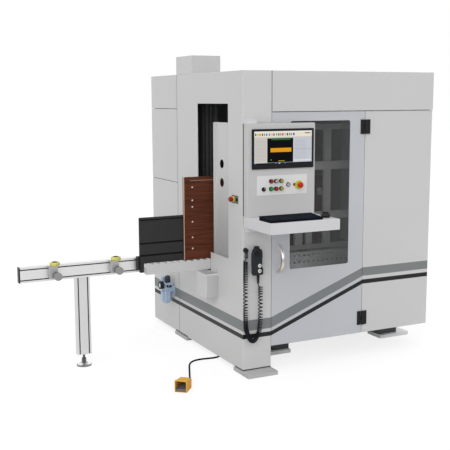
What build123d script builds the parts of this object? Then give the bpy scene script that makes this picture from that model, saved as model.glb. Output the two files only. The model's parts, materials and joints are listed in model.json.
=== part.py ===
"""Vertical CNC boring machine for furniture boards, built as separate pieces.

Millimetres. X runs right along the front, Y into the depth, Z up. The origin lies on the floor under the
front left corner of the cabinet. Each piece is written to parts/ under its own name.
"""
from build123d import *
import math
import os

# Cabinet shell, folded from sheet
cabinet_width = 1490.0
cabinet_depth = 1554.0
cabinet_height = 1952.0
sheet = 2.0
fold = 24.0
bend = 3.0
seam = 3.0
column_width = 207.0
skirt_height = 167.0
fascia_height = 256.0
fascia_proud = 6.0
side_seam = 1046.0
rear_seam_low = 1166.0
rear_seam_high = 1706.0
tower_lead = 70.1
tower_height = 126.0

# Feed opening in the left wall, and the recessed cover in front of it
cover_front = 207.0
cover_width = 223.0
cover_height = 889.0
cover_recess = 20.0
cover_flange = 15.0
cover_hole_radius = 30.0
cover_hole_inset = 135.0
cover_hole_heights = (1226.0, 1350.0)
slot_width = 252.0
slot_height = 1011.0
slot_bottom = 735.0
notch_width = 202.0
notch_clear = 11.0

# Welded frame and feet
foot_thick = 25.0
foot_proud = 10.0
foot_lead = 25.0
foot_width = 160.0
foot_length = 258.0
foot_out = 69.0
corner_foot_front = 95.0
corner_foot_back = 118.0
side_foot_front = 891.0
side_foot_length = 220.0
tube = 80.0
tube_wall = 5.0
frame_lift = 3.0
base_depth = 100.0
bed_front = 310.0
bed_width = 100.0
beam_set_back = 20.0
riser = 120.0
riser_length = 160.0
inner_riser_left = 395.0
inner_riser_length = 130.0

# Fits
slide_gap = 0.3
pin_gap = 0.05
button_gap = 0.25

# Door
door_width = 713.0
door_depth = 20.0
window_inset = 134.5
window_width = 459.5
window_bottom = 668.0
window_height = 966.0
window_corner = 14.0
window_lap = 18.0
glass = 5.0
handle_inset = 45.0
handle_bottom = 651.0
handle_span = 200.0
handle_reach = 83.0
handle_radius = 13.0
handle_end_radius = 7.0
hinge_rise = 59.0
hinge_drop = 56.0
hinge_height = 96.0
hinge_half_width = 37.5
hinge_leaf = 6.0
hinge_barrel = 8.0
hinge_pin = 4.0

# Operator console
console_width = 490.0
console_depth = 50.0
console_gap = 14.0
console_top = 1624.0
console_edge = 5.0
tray_top = 1039.0
tray_lip = 67.0
tray_reach = 349.0
pivot_inset = 28.0
pivot_set = 24.0
pivot_pin = 10.0
pivot_boss = 18.0
bracket_out = 58.0
bracket_height = 26.0
upper_bracket_width = 70.0
lower_bracket_inset = 12.0
lower_bracket_width = 48.0
pin_length = 30.0
monitor_inset = 29.0
monitor_width = 446.0
monitor_drop = 34.0
monitor_height = 250.0
monitor_proud = 8.0
monitor_body = 34.0
bezel = 14.0
bezel_bottom = 30.0
screen_depth = 2.0
plate_inset = 66.0
plate_width = 364.0
plate_drop = 42.5
plate_height = 123.5
plate_thick = 2.0
button_columns = (98.5, 134.0, 171.0)
button_rows = (88.0, 40.0)
button_radius = 10.5
button_proud = 9.0
button_depth = 14.0
button_reach = 16.5
button_collar = 14.0
collar_width = 2.0
collar_height = 4.0
key_place = (224.5, 62.0)
selector_place = (46.5, 39.0)
rotary_radius = 11.0
stop_place = (302.0, 57.0)
stop_collar = 27.0
stop_cap = 18.0
stop_cap_height = 20.0
stop_stem = 11.0
stop_lift = 22.0
keyboard_inset = 15.0
keyboard_width = 367.0
keyboard_front = 337.0
keyboard_depth = 147.0
keyboard_low = 12.0
keyboard_high = 26.0
mouse_inset = 452.0
mouse_front = 300.0
mouse_width = 56.0
mouse_length = 98.0
mouse_height = 34.0
mouse_turn = -26.0

# Handset with its curly cord
pendant_middle = 81.0
pendant_width = 82.0
pendant_bottom = 662.0
pendant_height = 186.0
pendant_depth = 40.0
pendant_edge = 9.0
holder_thick = 8.0
dial_height = 801.0
dial_radius = 18.0
dial_thick = 10.0
dial_stem = 4.0
pendant_button_offset = 15.0
pendant_button_heights = (723.0, 689.0)
pendant_button_radius = 9.0
pendant_button_proud = 5.0
pendant_bore = 14.0
stub_radius = 6.5
stub_length = 62.0
curl_wire = 3.25
curl_radius = 12.5
curl_pitch = 12.5
curl_lead = 9.0
curl_straight = 8.0
strand_out = 26.0
strand_left = 8.5
strand_right = 114.0
strand_bend = 298.0
gland_height = 822.0
gland_drop = 50.0
gland_radius = 9.0
gland_flange = 15.0

# Stop plate on the left wall
wall_plate_front = 62.0
wall_plate_width = 88.0
wall_plate_bottom = 1113.0
wall_plate_height = 51.0
wall_stop_inset = 62.0
wall_stop_cap = 18.0
wall_stop_cap_height = 17.0
wall_stop_collar = 8.0
wall_button_collar = 4.0
wall_stem = 8.0
wall_stop_lift = 20.0
wall_button_inset = 32.0
wall_socket_inset = 12.0

# Junction box and air unit on the left wall
box_front = 358.0
box_width = 156.0
box_bottom = 438.0
box_height = 169.0
box_depth = 75.0
box_lid = 18.0
box_corner = 12.0
air_middle = 1155.0
air_out = 48.0
air_body = 58.0
air_bottom = 330.0
air_height = 66.0
air_bowl_radius = 43.0
air_bowl_shift = 12.0
air_bowl_length = 94.0
air_bowl_taper = 24.0
air_bowl_slot = 10.0
air_arm = 40.0
air_plate = 6.0
air_plate_drop = 36.0
air_knob_radius = 22.0
air_knob_height = 54.0
air_stem = 9.0
air_stem_length = 14.0
gauge_radius = 26.0
gauge_rise = 16.0
gauge_thick = 26.0
gauge_stem = 6.0
port_radius = 5.8
port_depth = 14.0

# Infeed: roller track, fence, rail and stops
track_inset = 66.0
track_width = 53.0
track_top = 683.0
track_height = 68.0
track_out = 465.0
track_in = 1380.0
track_wall = 4.0
roller_radius = 14.0
roller_pitch = 48.0
roller_lift = 2.7
roller_axle = 4.0
fence_out = 491.0
fence_lift = 7.0
fence_height = 379.0
fence_thick = 18.0
fence_groove = 5.0
fence_grooves = ((116.0, 129.0), (198.0, 210.0), (358.0, 366.0))
link_width = 36.0
link_lift = 24.0
link_height = 113.0
link_out = 501.0
rail_inset = 32.0
rail_lift = 3.0
rail_depth = 45.0
rail_height = 100.0
rail_out = 1282.5
rail_in = 130.0
rail_slot = 8.0
rail_slot_depth = 10.0
rail_slot_edge = 16.0
rail_cap = 7.5
leg_middle = 861.0
leg_width = 96.0
leg_bottom = 80.0
leg_drop = 16.0
foot_disc = 50.0
foot_stem = 8.0
foot_bore_depth = 70.0
foot_cone = 16.0
foot_nut = 28.0
stop_middles = (1076.0, 664.0)
stop_width = 56.0
stop_depth = 43.0
stop_rise = 19.0
stop_wheel = 33.0
stop_wheel_width = 23.5
stop_wheel_offset = 13.0
stop_axle = 6.0
stop_axle_head = 13.0
knob_offset = 18.5
knob_rise = 37.5
knob_radius = 25.0
knob_length = 36.0
knob_neck = 7.0

# The board in work
board_gap = 0.5
board_left = 176.0
board_length = 1141.0
board_height = 567.0
board_thick = 25.0
board_hole_inset = 60.0
board_hole_heights = (77.0, 154.0, 262.0, 364.0, 409.0, 498.0)
board_hole_radius = 4.0

# Foot pedal and its cable
pedal_place = (-459.0, -84.0)
pedal_turn = -40.6
pedal_width = 76.0
pedal_depth = 104.0
pedal_front_height = 74.0
pedal_back_height = 60.0
pedal_wall = 4.0
pedal_edge = 5.0
treadle_thick = 5.0
treadle_slope = 12.0
treadle_pin = 3.0
treadle_barrel = 7.0
treadle_height = 12.0
treadle_inset = 8.0
treadle_gap = 2.0
cable_radius = 6.0
cable_boss = 8.0
cable_boss_length = 14.0
cable_boss_offset = 20.0
cable_boss_height = 26.0
cable_gland = 11.0
cable_gland_length = 70.0
cable_lead = 35.0

# Drilling axis
column_gap = 6.0
tower_column_width = 120.0
tower_column_depth = 160.0
tower_column_wall = 10.0
guide_width = 20.0
guide_depth = 25.0
guide_spread = 70.0
guide_rise = 30.0
guide_drop = 48.0
screw_radius = 8.0
screw_block = 30.0
motor_size = 90.0
motor_height = 112.0
motor_gap = 5.0
carriage_width = 180.0
carriage_thick = 40.0
carriage_middle = 960.0
carriage_height = 240.0
head_width = 160.0
head_depth = 115.0
head_height = 180.0
head_gap = 5.0
head_rod = 9.0
head_rod_spread = 148.0
head_rod_length = 50.0
head_motor = 100.0
head_motor_height = 140.0
plunge = 60.0
drill_stop = 3.0
drill_radius = 4.0
drill_length = 28.0
chuck_radius = 14.0
chuck_length = 15.0
spindle_radius = 12.0
spindle_hold = 40.0

# Machine bed, press frame and feed gripper
apron_front = 300.0
apron_thick = 6.0
apron_bottom = 540.0
apron_top = 712.0
apron_left = 230.0
apron_hole = 7.0
apron_hole_pitch = 39.0
apron_rows = (688.0, 640.0)
gusset = 12.0
gusset_places = (112.0, 700.0, 1300.0)
gusset_overhang = 5.0
press_set_back = 34.0
press_post = 55.0
press_post_width = 60.0
press_left = 240.0
press_bar = 25.0
press_rails = ((715.0, 745.0), (922.0, 977.0), (1278.0, 1336.0), (1561.0, 1600.0))
press_uprights = ((623.0, 683.0), (714.0, 761.0), (862.0, 916.0))
press_wheel = 20.0
press_wheel_height = 1110.0
press_arm = 24.0
feed_guide_left = 150.0
feed_guide_size = 40.0
gripper_length = 125.0
gripper_jaw = 15.0
gripper_end = 20.0
gripper_height = 70.0
gripper_cheek = 9.0
gripper_bite = 65.0

# Control plate with its drives
control_thick = 3.0
drive_lefts = (300.0, 460.0, 620.0)
drive_width = 120.0
drive_depth = 200.0
drive_bottom = 900.0
drive_height = 300.0

# Edges that more than one piece shares
fascia_low = cabinet_height - fascia_height
door_left = column_width + seam
door_right = door_left + door_width
panel_left = door_right + seam
left = fold
right = cabinet_width - fold
front = fold
back = cabinet_depth - fold
left_in = left + tube
right_in = right - tube
front_in = front + tube
back_in = back - tube
middle_front = side_seam - tube / 2
middle_back = side_seam + tube / 2
base_low = skirt_height + frame_lift
base_high = base_low + base_depth
ring_high = cabinet_height - fold
ring_low = ring_high - tube
slot_front = cover_front + cover_width
slot_back = slot_front + slot_width
slot_top = slot_bottom + slot_height
hinge_x = door_right + seam / 2
hinge_y = -hinge_barrel - 1
hinge_heights = (skirt_height + hinge_rise, fascia_low - seam - hinge_drop - hinge_height)
console_front = -console_gap - console_depth
pivot_y = -console_gap - pivot_set
tray_low = tray_top - tray_lip
monitor_bottom = console_top - monitor_drop - monitor_height
plate_bottom = monitor_bottom - plate_drop - plate_height
pendant_back = -holder_thick
pendant_front = pendant_back - pendant_depth
track_front = slot_front + track_inset
track_back = track_front + track_width
track_low = track_top - track_height
rail_back = slot_back - rail_inset
rail_front = rail_back - rail_depth
rail_bottom = track_low + rail_lift
rail_top = rail_bottom + rail_height
gusset_back = rail_back + gusset_overhang
press_front = apron_front + apron_thick + press_set_back
board_back = track_back - board_gap
board_front = board_back - board_thick
board_low = track_top + roller_lift + slide_gap
board_end = board_length - board_left
drill_tip = board_back + drill_stop + plunge
head_front = drill_tip + drill_length + chuck_length + slide_gap
head_back = head_front + head_depth
carriage_front = head_back + head_gap
carriage_back = carriage_front + carriage_thick
guide_front = carriage_back + slide_gap
guide_bottom = base_high + guide_rise
guide_top = ring_high - guide_drop
tower_column_front = guide_front + guide_depth
tower_column_left = left_in + column_gap
column_middle = tower_column_left + tower_column_width / 2
tower_width = column_middle + motor_size / 2 + motor_gap
tower_front = tower_column_front - tower_lead
drive_beam_front = tower_column_front + beam_set_back
stop_wheel_y = board_back + board_gap + stop_wheel
stop_top = rail_top + slide_gap
stop_front = rail_front - stop_depth
stop_bottom = rail_bottom + stop_rise
knob_height = rail_bottom + knob_rise
air_top = air_bottom + air_height
curl_top_left = gland_height - gland_drop - curl_straight - curl_lead
curl_top_right = pendant_bottom - stub_length - curl_straight - curl_lead
gland_x = strand_left + curl_lead
gland_y = -strand_out + curl_radius
stub_x = strand_right - curl_radius
stub_y = -strand_out + curl_lead
strand_turn = math.pi * (strand_right - strand_left) / 2
strand_length = curl_top_right + curl_top_left - 2 * strand_bend + strand_turn
curl_turns = round(strand_length / curl_pitch) + 0.75

# The pedal's cable, from its boss over the floor to the gland under the left base tube
cable_route = (
    (-358.0, 36.0, 9.5),
    (-331.0, 108.0, 6.5),
    (-300.0, 180.0, 6.5),
    (-262.0, 270.0, 6.5),
    (-236.0, 330.0, 6.5),
    (-205.0, 378.0, 6.5),
    (-165.0, 407.0, 6.5),
    (-116.0, 421.0, 6.5),
    (-64.0, 416.0, 6.5),
    (10.0, 402.0, 7.5),
    (44.0, 401.0, 27.0),
    (64.0, 399.0, 61.0),
)
cable_end = (*cable_route[-1][:2], base_low - cable_gland_length)


def block(low, high):
    """A box between two opposite corners."""
    size = [b - a for a, b in zip(low, high)]
    middle = [(a + b) / 2 for a, b in zip(low, high)]
    return Pos(*middle) * Box(*size)


def rounded_block(low, high, along, radius):
    """A box whose edges along one axis are rounded."""
    box = block(low, high)
    return fillet(box.edges().filter_by(along), radius)


def rod(start, direction, radius, length):
    """A cylinder that starts at a point and runs one way."""
    base = Plane(origin=start, z_dir=direction)
    return base * Cylinder(radius, length, align=(Align.CENTER, Align.CENTER, Align.MIN))


def pan(low, high, mouth, wall=sheet):
    """A folded sheet: a box of thin walls that is open on its mouth side, such as "+Y"."""
    index = "XYZ".index(mouth[1])
    opens_up = mouth[0] == "+"
    axis = (Axis.X, Axis.Y, Axis.Z)[index]
    shell = block(low, high)
    skin = shell.faces().sort_by(axis)[0 if opens_up else -1]
    shell = fillet(skin.edges(), bend)
    inner_low = [a + wall for a in low]
    inner_high = [b - wall for b in high]
    if opens_up:
        inner_high[index] = high[index] + wall
    else:
        inner_low[index] = low[index] - wall
    return shell - block(inner_low, inner_high)


def square_tube(low, high, run):
    """A hollow tube along one axis."""
    index = "XYZ".index(run)
    inner_low = [a + tube_wall for a in low]
    inner_high = [b - tube_wall for b in high]
    inner_low[index] = low[index] - tube_wall
    inner_high[index] = high[index] + tube_wall
    return block(low, high) - block(inner_low, inner_high)


def save(name, *pieces):
    """Write one piece, or a fixed group of pieces, as a file of its own."""
    solids = [solid for piece in pieces for solid in piece.solids()]
    export_step(Compound(solids), f"parts/{name}.step")


def machine_frame():
    """Welded tubes inside the shell, with risers and foot plates."""
    posts = (
        ((left, front, foot_thick), (left_in, front_in, ring_low)),
        ((left, middle_front, foot_thick), (left_in, middle_back, ring_low)),
        ((left, back_in, base_high), (left_in, back, ring_low)),
        ((right_in, front, base_high), (right, front_in, ring_low)),
        ((right_in, back_in, base_high), (right, back, ring_low)),
        ((panel_left, front, base_high), (panel_left + tube, front_in, ring_low)),
    )
    side_beams = (
        ((left, front_in, base_low), (left_in, middle_front, base_high)),
        ((left, middle_back, base_low), (left_in, back, base_high)),
        ((right_in, front, base_low), (right, back, base_high)),
        ((left, front, ring_low), (left_in, back, ring_high)),
        ((right_in, front, ring_low), (right, back, ring_high)),
    )
    base_beams = (
        (front, front_in),
        (bed_front, bed_front + bed_width),
        (drive_beam_front, drive_beam_front + tube),
        (back_in, back),
    )
    top_beams = ((front, front_in), (back_in, back))
    risers = (
        (inner_riser_left, bed_front, inner_riser_length),
        (right - riser_length, bed_front, riser_length),
        (right - riser_length, back - riser, riser_length),
        (left_in, back - riser, riser),
    )
    inner_end = inner_riser_left + inner_riser_length + frame_lift
    outer_end = cabinet_width + foot_out
    bed_foot = bed_front - foot_lead
    back_foot = back + foot_proud - foot_width
    plates = (
        ((-foot_proud, -corner_foot_front), (column_width, corner_foot_back)),
        ((-foot_proud, side_foot_front), (column_width, side_foot_front + side_foot_length)),
        ((inner_end - foot_length, bed_foot), (inner_end, bed_foot + foot_width)),
        ((outer_end - foot_length, bed_foot), (outer_end, bed_foot + foot_width)),
        ((outer_end - foot_length, back_foot), (outer_end, back_foot + foot_width)),
        ((left_in - foot_proud, back_foot), (left_in - foot_proud + foot_length, back_foot + foot_width)),
    )
    pieces = [square_tube(low, high, "Z") for low, high in posts]
    pieces += [square_tube(low, high, "Y") for low, high in side_beams]
    pieces += [square_tube((left_in, a, base_low), (right_in, b, base_high), "X") for a, b in base_beams]
    pieces += [square_tube((left_in, a, ring_low), (right_in, b, ring_high), "X") for a, b in top_beams]
    for x, y, length in risers:
        pieces.append(square_tube((x, y, foot_thick), (x + length, y + riser, base_low), "Z"))
    pieces += [block((*low, 0), (*high, foot_thick)) for low, high in plates]
    return pieces


def left_wall():
    """Side panel with the stepped feed opening and the holes of the stop plate."""
    wall = pan((0, front, foot_thick), (fold, side_seam - seam / 2, cabinet_height), "+X")
    through = fold + sheet
    wall -= block((-sheet, cover_front, slot_bottom), (through, slot_back, slot_top))
    notch_low = (-sheet, slot_back - notch_width, track_low - notch_clear)
    wall -= block(notch_low, (through, slot_back, slot_bottom))
    for inset in (wall_stop_inset, wall_button_inset, wall_socket_inset):
        place = (-sheet, wall_plate_front + inset, wall_plate_bottom + wall_plate_height / 2)
        wall -= rod(place, (1, 0, 0), wall_stem + button_gap, 3 * sheet)
    return wall


def slot_cover():
    """Recessed tray beside the feed slot, with a lip at the slot, flanges behind it and two round holes."""
    face = cover_recess + sheet
    low = slot_bottom - cover_flange
    high = slot_bottom + cover_height
    cover = block((sheet, cover_front - cover_flange, low), (2 * sheet, cover_front + sheet, high))
    cover += block((sheet, cover_front, low), (face, cover_front + sheet, high))
    cover += block((cover_recess, cover_front, low), (face, slot_front, high))
    cover += block((cover_recess, slot_front - sheet, low), (face + cover_flange, slot_front, high))
    cover += block((0, slot_front - sheet, slot_bottom), (face, slot_front, high))
    cover += block((sheet, cover_front, slot_bottom - sheet), (face, slot_front, slot_bottom))
    for height in cover_hole_heights:
        cover -= rod((0, cover_front + cover_hole_inset, height), (1, 0, 0), cover_hole_radius, 2 * face)
    return cover


def enclosure_panels():
    """Rear panels of the left side, the right side, the back and the roof."""
    rear_front = side_seam + seam / 2
    levels = (
        (foot_thick, rear_seam_low - seam / 2),
        (rear_seam_low + seam / 2, rear_seam_high - seam / 2),
        (rear_seam_high + seam / 2, cabinet_height),
    )
    pieces = [pan((0, rear_front, low), (fold, cabinet_depth, high), "+X") for low, high in levels]
    pieces.append(pan((right, front, skirt_height), (cabinet_width, cabinet_depth, cabinet_height), "-X"))
    middle = cabinet_width / 2
    pieces.append(pan((left, back, skirt_height), (middle - seam / 2, cabinet_depth, cabinet_height), "-Y"))
    pieces.append(pan((middle + seam / 2, back, skirt_height), (right, cabinet_depth, cabinet_height), "-Y"))
    roof_low = cabinet_height - sheet
    roof = block((left, front, roof_low), (right, back, cabinet_height))
    half = motor_size / 2 + motor_gap
    roof -= block(
        (column_middle - half, tower_column_front - motor_gap, ring_high),
        (column_middle + half, tower_column_front + motor_size + motor_gap, cabinet_height + sheet),
    )
    pieces.append(roof)
    for y in (front, back - sheet):
        pieces.append(block((left, y, ring_high), (right, y + sheet, roof_low)))
    for x in (left, right - sheet):
        pieces.append(block((x, front + sheet, ring_high), (x + sheet, back - sheet, roof_low)))
    return pieces


def door_panel():
    """Folded door with the window opening."""
    door = pan((door_left, 0, skirt_height), (door_right, door_depth, fascia_low - seam), "+Y")
    return door - window_block(0, -sheet, 2 * sheet)


def window_block(grow, y_low, y_high):
    """The rounded outline of the window, made larger by grow all round."""
    low = (door_left + window_inset - grow, y_low, window_bottom - grow)
    high = (door_left + window_inset + window_width + grow, y_high, window_bottom + window_height + grow)
    return rounded_block(low, high, Axis.Y, window_corner + grow)


def door_handle():
    """Bow handle: an arc of round bar, thick in the middle, whose ends stand flat on the door."""
    x = door_left + handle_inset
    middle = handle_bottom + handle_span / 2
    half = (handle_span - 2 * handle_end_radius) / 2
    rise = handle_reach - handle_radius
    bow = (half * half + rise * rise) / (2 * rise)
    spread = math.acos((bow - rise - handle_end_radius) / bow)
    ends = [
        (x, -rise + bow - bow * math.cos(spread), middle + side * bow * math.sin(spread))
        for side in (-1, 1)
    ]
    path = ThreePointArc(ends[0], (x, -rise, middle), ends[1])
    sections = [
        Plane(origin=path @ share, x_dir=(1, 0, 0), z_dir=path % share) * Circle(radius)
        for share, radius in ((0, handle_end_radius), (0.5, handle_radius), (1, handle_end_radius))
    ]
    bar = sweep(sections, path=path, multisection=True)
    margin = 4 * handle_radius
    top = handle_bottom + handle_span + margin
    return bar - block((x - margin, 0, handle_bottom - margin), (x + margin, margin, top))


def hinge_knuckle(side, low, high, bore):
    """One knuckle round the hinge line, with its web to the leaf on that side of the line."""
    barrel = rod((hinge_x, hinge_y, low), (0, 0, 1), hinge_barrel, high - low)
    reach = hinge_x + side * (hinge_barrel + slide_gap + 1)
    web_low = (min(hinge_x, reach), -hinge_leaf, low)
    web_high = (max(hinge_x, reach), 0, high)
    knuckle = barrel + block(web_low, web_high)
    return knuckle - rod((hinge_x, hinge_y, low), (0, 0, 1), bore, high - low)


def hinge_plate(side, low):
    """The flat leaf on one side of the hinge line."""
    near = hinge_x + side * (hinge_barrel + slide_gap + 1)
    far = hinge_x + side * hinge_half_width
    return block((min(near, far), -hinge_leaf, low), (max(near, far), 0, low + hinge_height))


def door_hinges():
    """Leaves on the door, each with the middle knuckle."""
    third = hinge_height / 3
    leaves = []
    for low in hinge_heights:
        knuckle = hinge_knuckle(-1, low + third + slide_gap, low + 2 * third - slide_gap, hinge_pin + pin_gap)
        leaves.append(hinge_plate(-1, low) + knuckle)
    return leaves


def frame_hinges():
    """Leaves on the right panel, each with the outer knuckles and the pin."""
    third = hinge_height / 3
    leaves = []
    for low in hinge_heights:
        leaf = hinge_plate(1, low)
        leaf += hinge_knuckle(1, low, low + third, hinge_pin / 2)
        leaf += hinge_knuckle(1, low + 2 * third, low + hinge_height, hinge_pin / 2)
        leaf += rod((hinge_x, hinge_y, low), (0, 0, 1), hinge_pin, hinge_height)
        leaves.append(leaf)
    return leaves


def console_brackets():
    """Two brackets on the column with the pins that carry the console."""
    low = console_top + slide_gap
    upper = block((0, -bracket_out, low), (upper_bracket_width, 0, low + bracket_height))
    upper += rod((pivot_inset, pivot_y, low), (0, 0, -1), pivot_pin, pin_length)
    high = tray_low - slide_gap
    side = lower_bracket_inset
    lower = block((side, -bracket_out, high - bracket_height), (side + lower_bracket_width, 0, high))
    lower += rod((pivot_inset, pivot_y, high), (0, 0, 1), pivot_pin, pin_length)
    return [upper, lower]


def on_plate(place):
    """A control's centre on the console, from its place on the button plate."""
    return plate_inset + place[0], plate_bottom + place[1]


def button_places():
    """Centres of the six push buttons on the console, row by row."""
    return [on_plate((x, z)) for z in button_rows for x in button_columns]


def console_collars():
    """Each control of the console: its place, hole radius, collar radius and collar height."""
    hole = button_radius + button_gap
    collars = [(place, hole, hole + collar_width, button_collar) for place in button_places()]
    turning = rotary_radius + button_gap
    for place in (key_place, selector_place):
        collars.append((on_plate(place), turning, turning + collar_width, collar_height))
    collars.append((on_plate(stop_place), stop_stem + button_gap, stop_collar, 2 * collar_height))
    return collars


def console_housing():
    """Folded housing with its back plate and swivel boss, and the plate that holds the controls."""
    back_plane = -console_gap
    shell = pan((0, console_front, tray_top), (console_width, back_plane - sheet, console_top), "+Y")
    boss_top = console_top - sheet
    shell += rod((pivot_inset, pivot_y, boss_top), (0, 0, -1), pivot_boss, pin_length + sheet)
    shell -= rod((pivot_inset, pivot_y, console_top), (0, 0, -1), pivot_pin + pin_gap, 2 * pin_length)
    shell -= monitor_block(-bezel / 2, console_front - sheet, console_front + 2 * sheet)
    plate_front = console_front - plate_thick
    plate = block(
        (plate_inset, plate_front, plate_bottom),
        (plate_inset + plate_width, console_front, plate_bottom + plate_height),
    )
    for (x, z), hole, collar, height in console_collars():
        plate += rod((x, plate_front, z), (0, -1, 0), collar, height)
        through = rod((x, plate_front - height, z), (0, 1, 0), hole, height + plate_thick + 2 * sheet)
        plate -= through
        shell -= through
    rear = block((0, back_plane - sheet, tray_top), (console_width, back_plane, console_top))
    return [shell, rear, plate]


def monitor_block(grow, y_low, y_high):
    """The outline of the monitor, made larger by grow all round."""
    low = (monitor_inset - grow, y_low, monitor_bottom - grow)
    high = (monitor_inset + monitor_width + grow, y_high, monitor_bottom + monitor_height + grow)
    return rounded_block(low, high, Axis.Y, console_edge)


def monitor():
    """Screen with its bezel in front of the housing and its body behind."""
    face = console_front - monitor_proud
    body = monitor_block(0, face, console_front)
    body += monitor_block(-bezel / 2 - button_gap, console_front, console_front + monitor_body)
    screen_low = (monitor_inset + bezel, face, monitor_bottom + bezel_bottom)
    screen_high = (
        monitor_inset + monitor_width - bezel,
        face + screen_depth,
        monitor_bottom + monitor_height - bezel,
    )
    return body - block(screen_low, screen_high)


def keyboard_tray():
    """Folded tray under the housing, with the lower swivel boss."""
    tray = pan((0, -console_gap - tray_reach, tray_low), (console_width, -console_gap, tray_top), "-Z")
    tray += rod((pivot_inset, pivot_y, tray_low), (0, 0, 1), pivot_boss, tray_lip - sheet)
    return tray - rod((pivot_inset, pivot_y, tray_low), (0, 0, 1), pivot_pin + pin_gap, pin_length + sheet)


def keyboard():
    """Wedge-shaped keyboard."""
    near = -keyboard_front
    far = near + keyboard_depth
    outline = Polyline(
        (near, tray_top),
        (far, tray_top),
        (far, tray_top + keyboard_high),
        (near, tray_top + keyboard_low),
        close=True,
    )
    face = Plane(origin=(keyboard_inset, 0, 0), x_dir=(0, 1, 0), z_dir=(1, 0, 0)) * make_face(outline)
    return extrude(face, keyboard_width)


def mouse():
    """Rounded mouse, turned a little towards the operator."""
    low = (mouse_inset - mouse_width / 2, -mouse_front, tray_top)
    high = (mouse_inset + mouse_width / 2, -mouse_front + mouse_length, tray_top + mouse_height)
    shell = rounded_block(low, high, Axis.Z, mouse_width / 2.2)
    shell = fillet(shell.faces().sort_by(Axis.Z)[-1].edges(), mouse_height / 2)
    middle = Axis((mouse_inset, mouse_length / 2 - mouse_front, 0), (0, 0, 1))
    return shell.rotate(middle, mouse_turn)


def push_button(x, z):
    """One push button of the console."""
    face = console_front - plate_thick - button_reach
    cap = rod((x, face, z), (0, 1, 0), button_radius, button_reach + button_depth)
    return fillet(cap.faces().sort_by(Axis.Y)[0].edges(), sheet)


def rotary(place, bar_height):
    """A turning control: a round body with a raised finger bar."""
    x, z = on_plate(place)
    face = console_front - plate_thick - collar_height - sheet
    body = rod((x, face, z), (0, 1, 0), rotary_radius, collar_height + sheet + button_depth)
    half = rotary_radius / 4
    reach = rotary_radius - sheet
    return body + block((x - half, face - bar_height, z - reach), (x + half, face + sheet, z + reach))


def console_stop():
    """Mushroom of the console's emergency stop."""
    x, z = on_plate(stop_place)
    base = console_front - plate_thick - stop_lift
    cap = rod((x, base, z), (0, -1, 0), stop_cap, stop_cap_height)
    cap = fillet(cap.faces().sort_by(Axis.Y)[0].edges(), stop_cap_height / 3)
    return cap + rod((x, base, z), (0, 1, 0), stop_stem, stop_lift + button_depth)


def pendant_body():
    """Handset on its holder, with the bores of its controls and the cord's strain relief."""
    low = (pendant_middle - pendant_width / 2, pendant_front, pendant_bottom)
    high = (pendant_middle + pendant_width / 2, pendant_back, pendant_bottom + pendant_height)
    body = rounded_block(low, high, Axis.Y, 2 * pendant_edge)
    body = fillet(body.faces().sort_by(Axis.Y)[0].edges(), pendant_edge / 2)
    body -= rod((pendant_middle, pendant_front, dial_height), (0, 1, 0), dial_stem + pin_gap, pendant_bore)
    for height in pendant_button_heights:
        mouth = (pendant_middle + pendant_button_offset, pendant_front, height)
        body -= rod(mouth, (0, 1, 0), pendant_button_radius + button_gap, pendant_bore)
    root = (stub_x, stub_y, pendant_bottom + pendant_edge)
    body += rod(root, (0, 0, -1), stub_radius, pendant_edge + stub_length)
    width = pendant_width / 4
    holder = block(
        (pendant_middle - width, pendant_back, pendant_bottom + pendant_height / 4),
        (pendant_middle + width, 0, pendant_bottom + pendant_height * 3 / 4),
    )
    return [body, holder]


def pendant_dial():
    """Turning dial of the handset."""
    face = pendant_front - slide_gap
    knob = rod((pendant_middle, face, dial_height), (0, -1, 0), dial_radius, dial_thick)
    knob = fillet(knob.faces().sort_by(Axis.Y)[0].edges(), sheet)
    return knob + rod((pendant_middle, face, dial_height), (0, 1, 0), dial_stem, pendant_bore - sheet)


def pendant_button(height):
    """Push button of the handset."""
    start = (pendant_middle + pendant_button_offset, pendant_front - pendant_button_proud, height)
    return rod(start, (0, 1, 0), pendant_button_radius, pendant_button_proud + pendant_bore - 2 * sheet)


def cord_glands():
    """Elbow gland of the handset's cord on the column, and the cable gland under the left base tube."""
    elbow = rod((gland_x, 0, gland_height), (0, -1, 0), gland_flange, bend)
    elbow += rod((gland_x, 0, gland_height), (0, -1, 0), gland_radius, -gland_y)
    elbow += Pos(gland_x, gland_y, gland_height) * Sphere(gland_radius)
    elbow += rod((gland_x, gland_y, gland_height), (0, 0, -1), gland_radius, gland_drop)
    nut = Plane(origin=(gland_x, gland_y, gland_height - gland_drop)) * RegularPolygon(gland_radius + bend, 6)
    elbow += extrude(nut, gland_drop / 3)
    elbow &= block((-gland_drop, -gland_drop, 0), (2 * gland_drop, 0, cabinet_height))
    lower = rod(cable_end, (0, 0, 1), cable_gland, cable_gland_length)
    return [elbow, lower]


def strand(distance):
    """Point and direction of the handset cord's centre line, which hangs as a U."""
    reach = (strand_right - strand_left) / 2
    drop = curl_top_right - strand_bend
    if distance < drop:
        return Vector(strand_right, -strand_out, curl_top_right - distance), Vector(0, 0, -1)
    if distance < drop + strand_turn:
        angle = (distance - drop) / reach
        x = strand_left + reach + reach * math.cos(angle)
        z = strand_bend - reach * math.sin(angle)
        return Vector(x, -strand_out, z), Vector(-math.sin(angle), 0, -math.cos(angle))
    return Vector(strand_left, -strand_out, strand_bend + distance - drop - strand_turn), Vector(0, 0, 1)


def curl(share):
    """Point of the curls, at a share of the cord's length."""
    middle, direction = strand(share * strand_length)
    side = Vector(0, 1, 0)
    across = direction.cross(side)
    angle = -math.pi / 2 - 2 * math.pi * curl_turns * share
    return middle + side * (curl_radius * math.cos(angle)) + across * (curl_radius * math.sin(angle))


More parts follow.
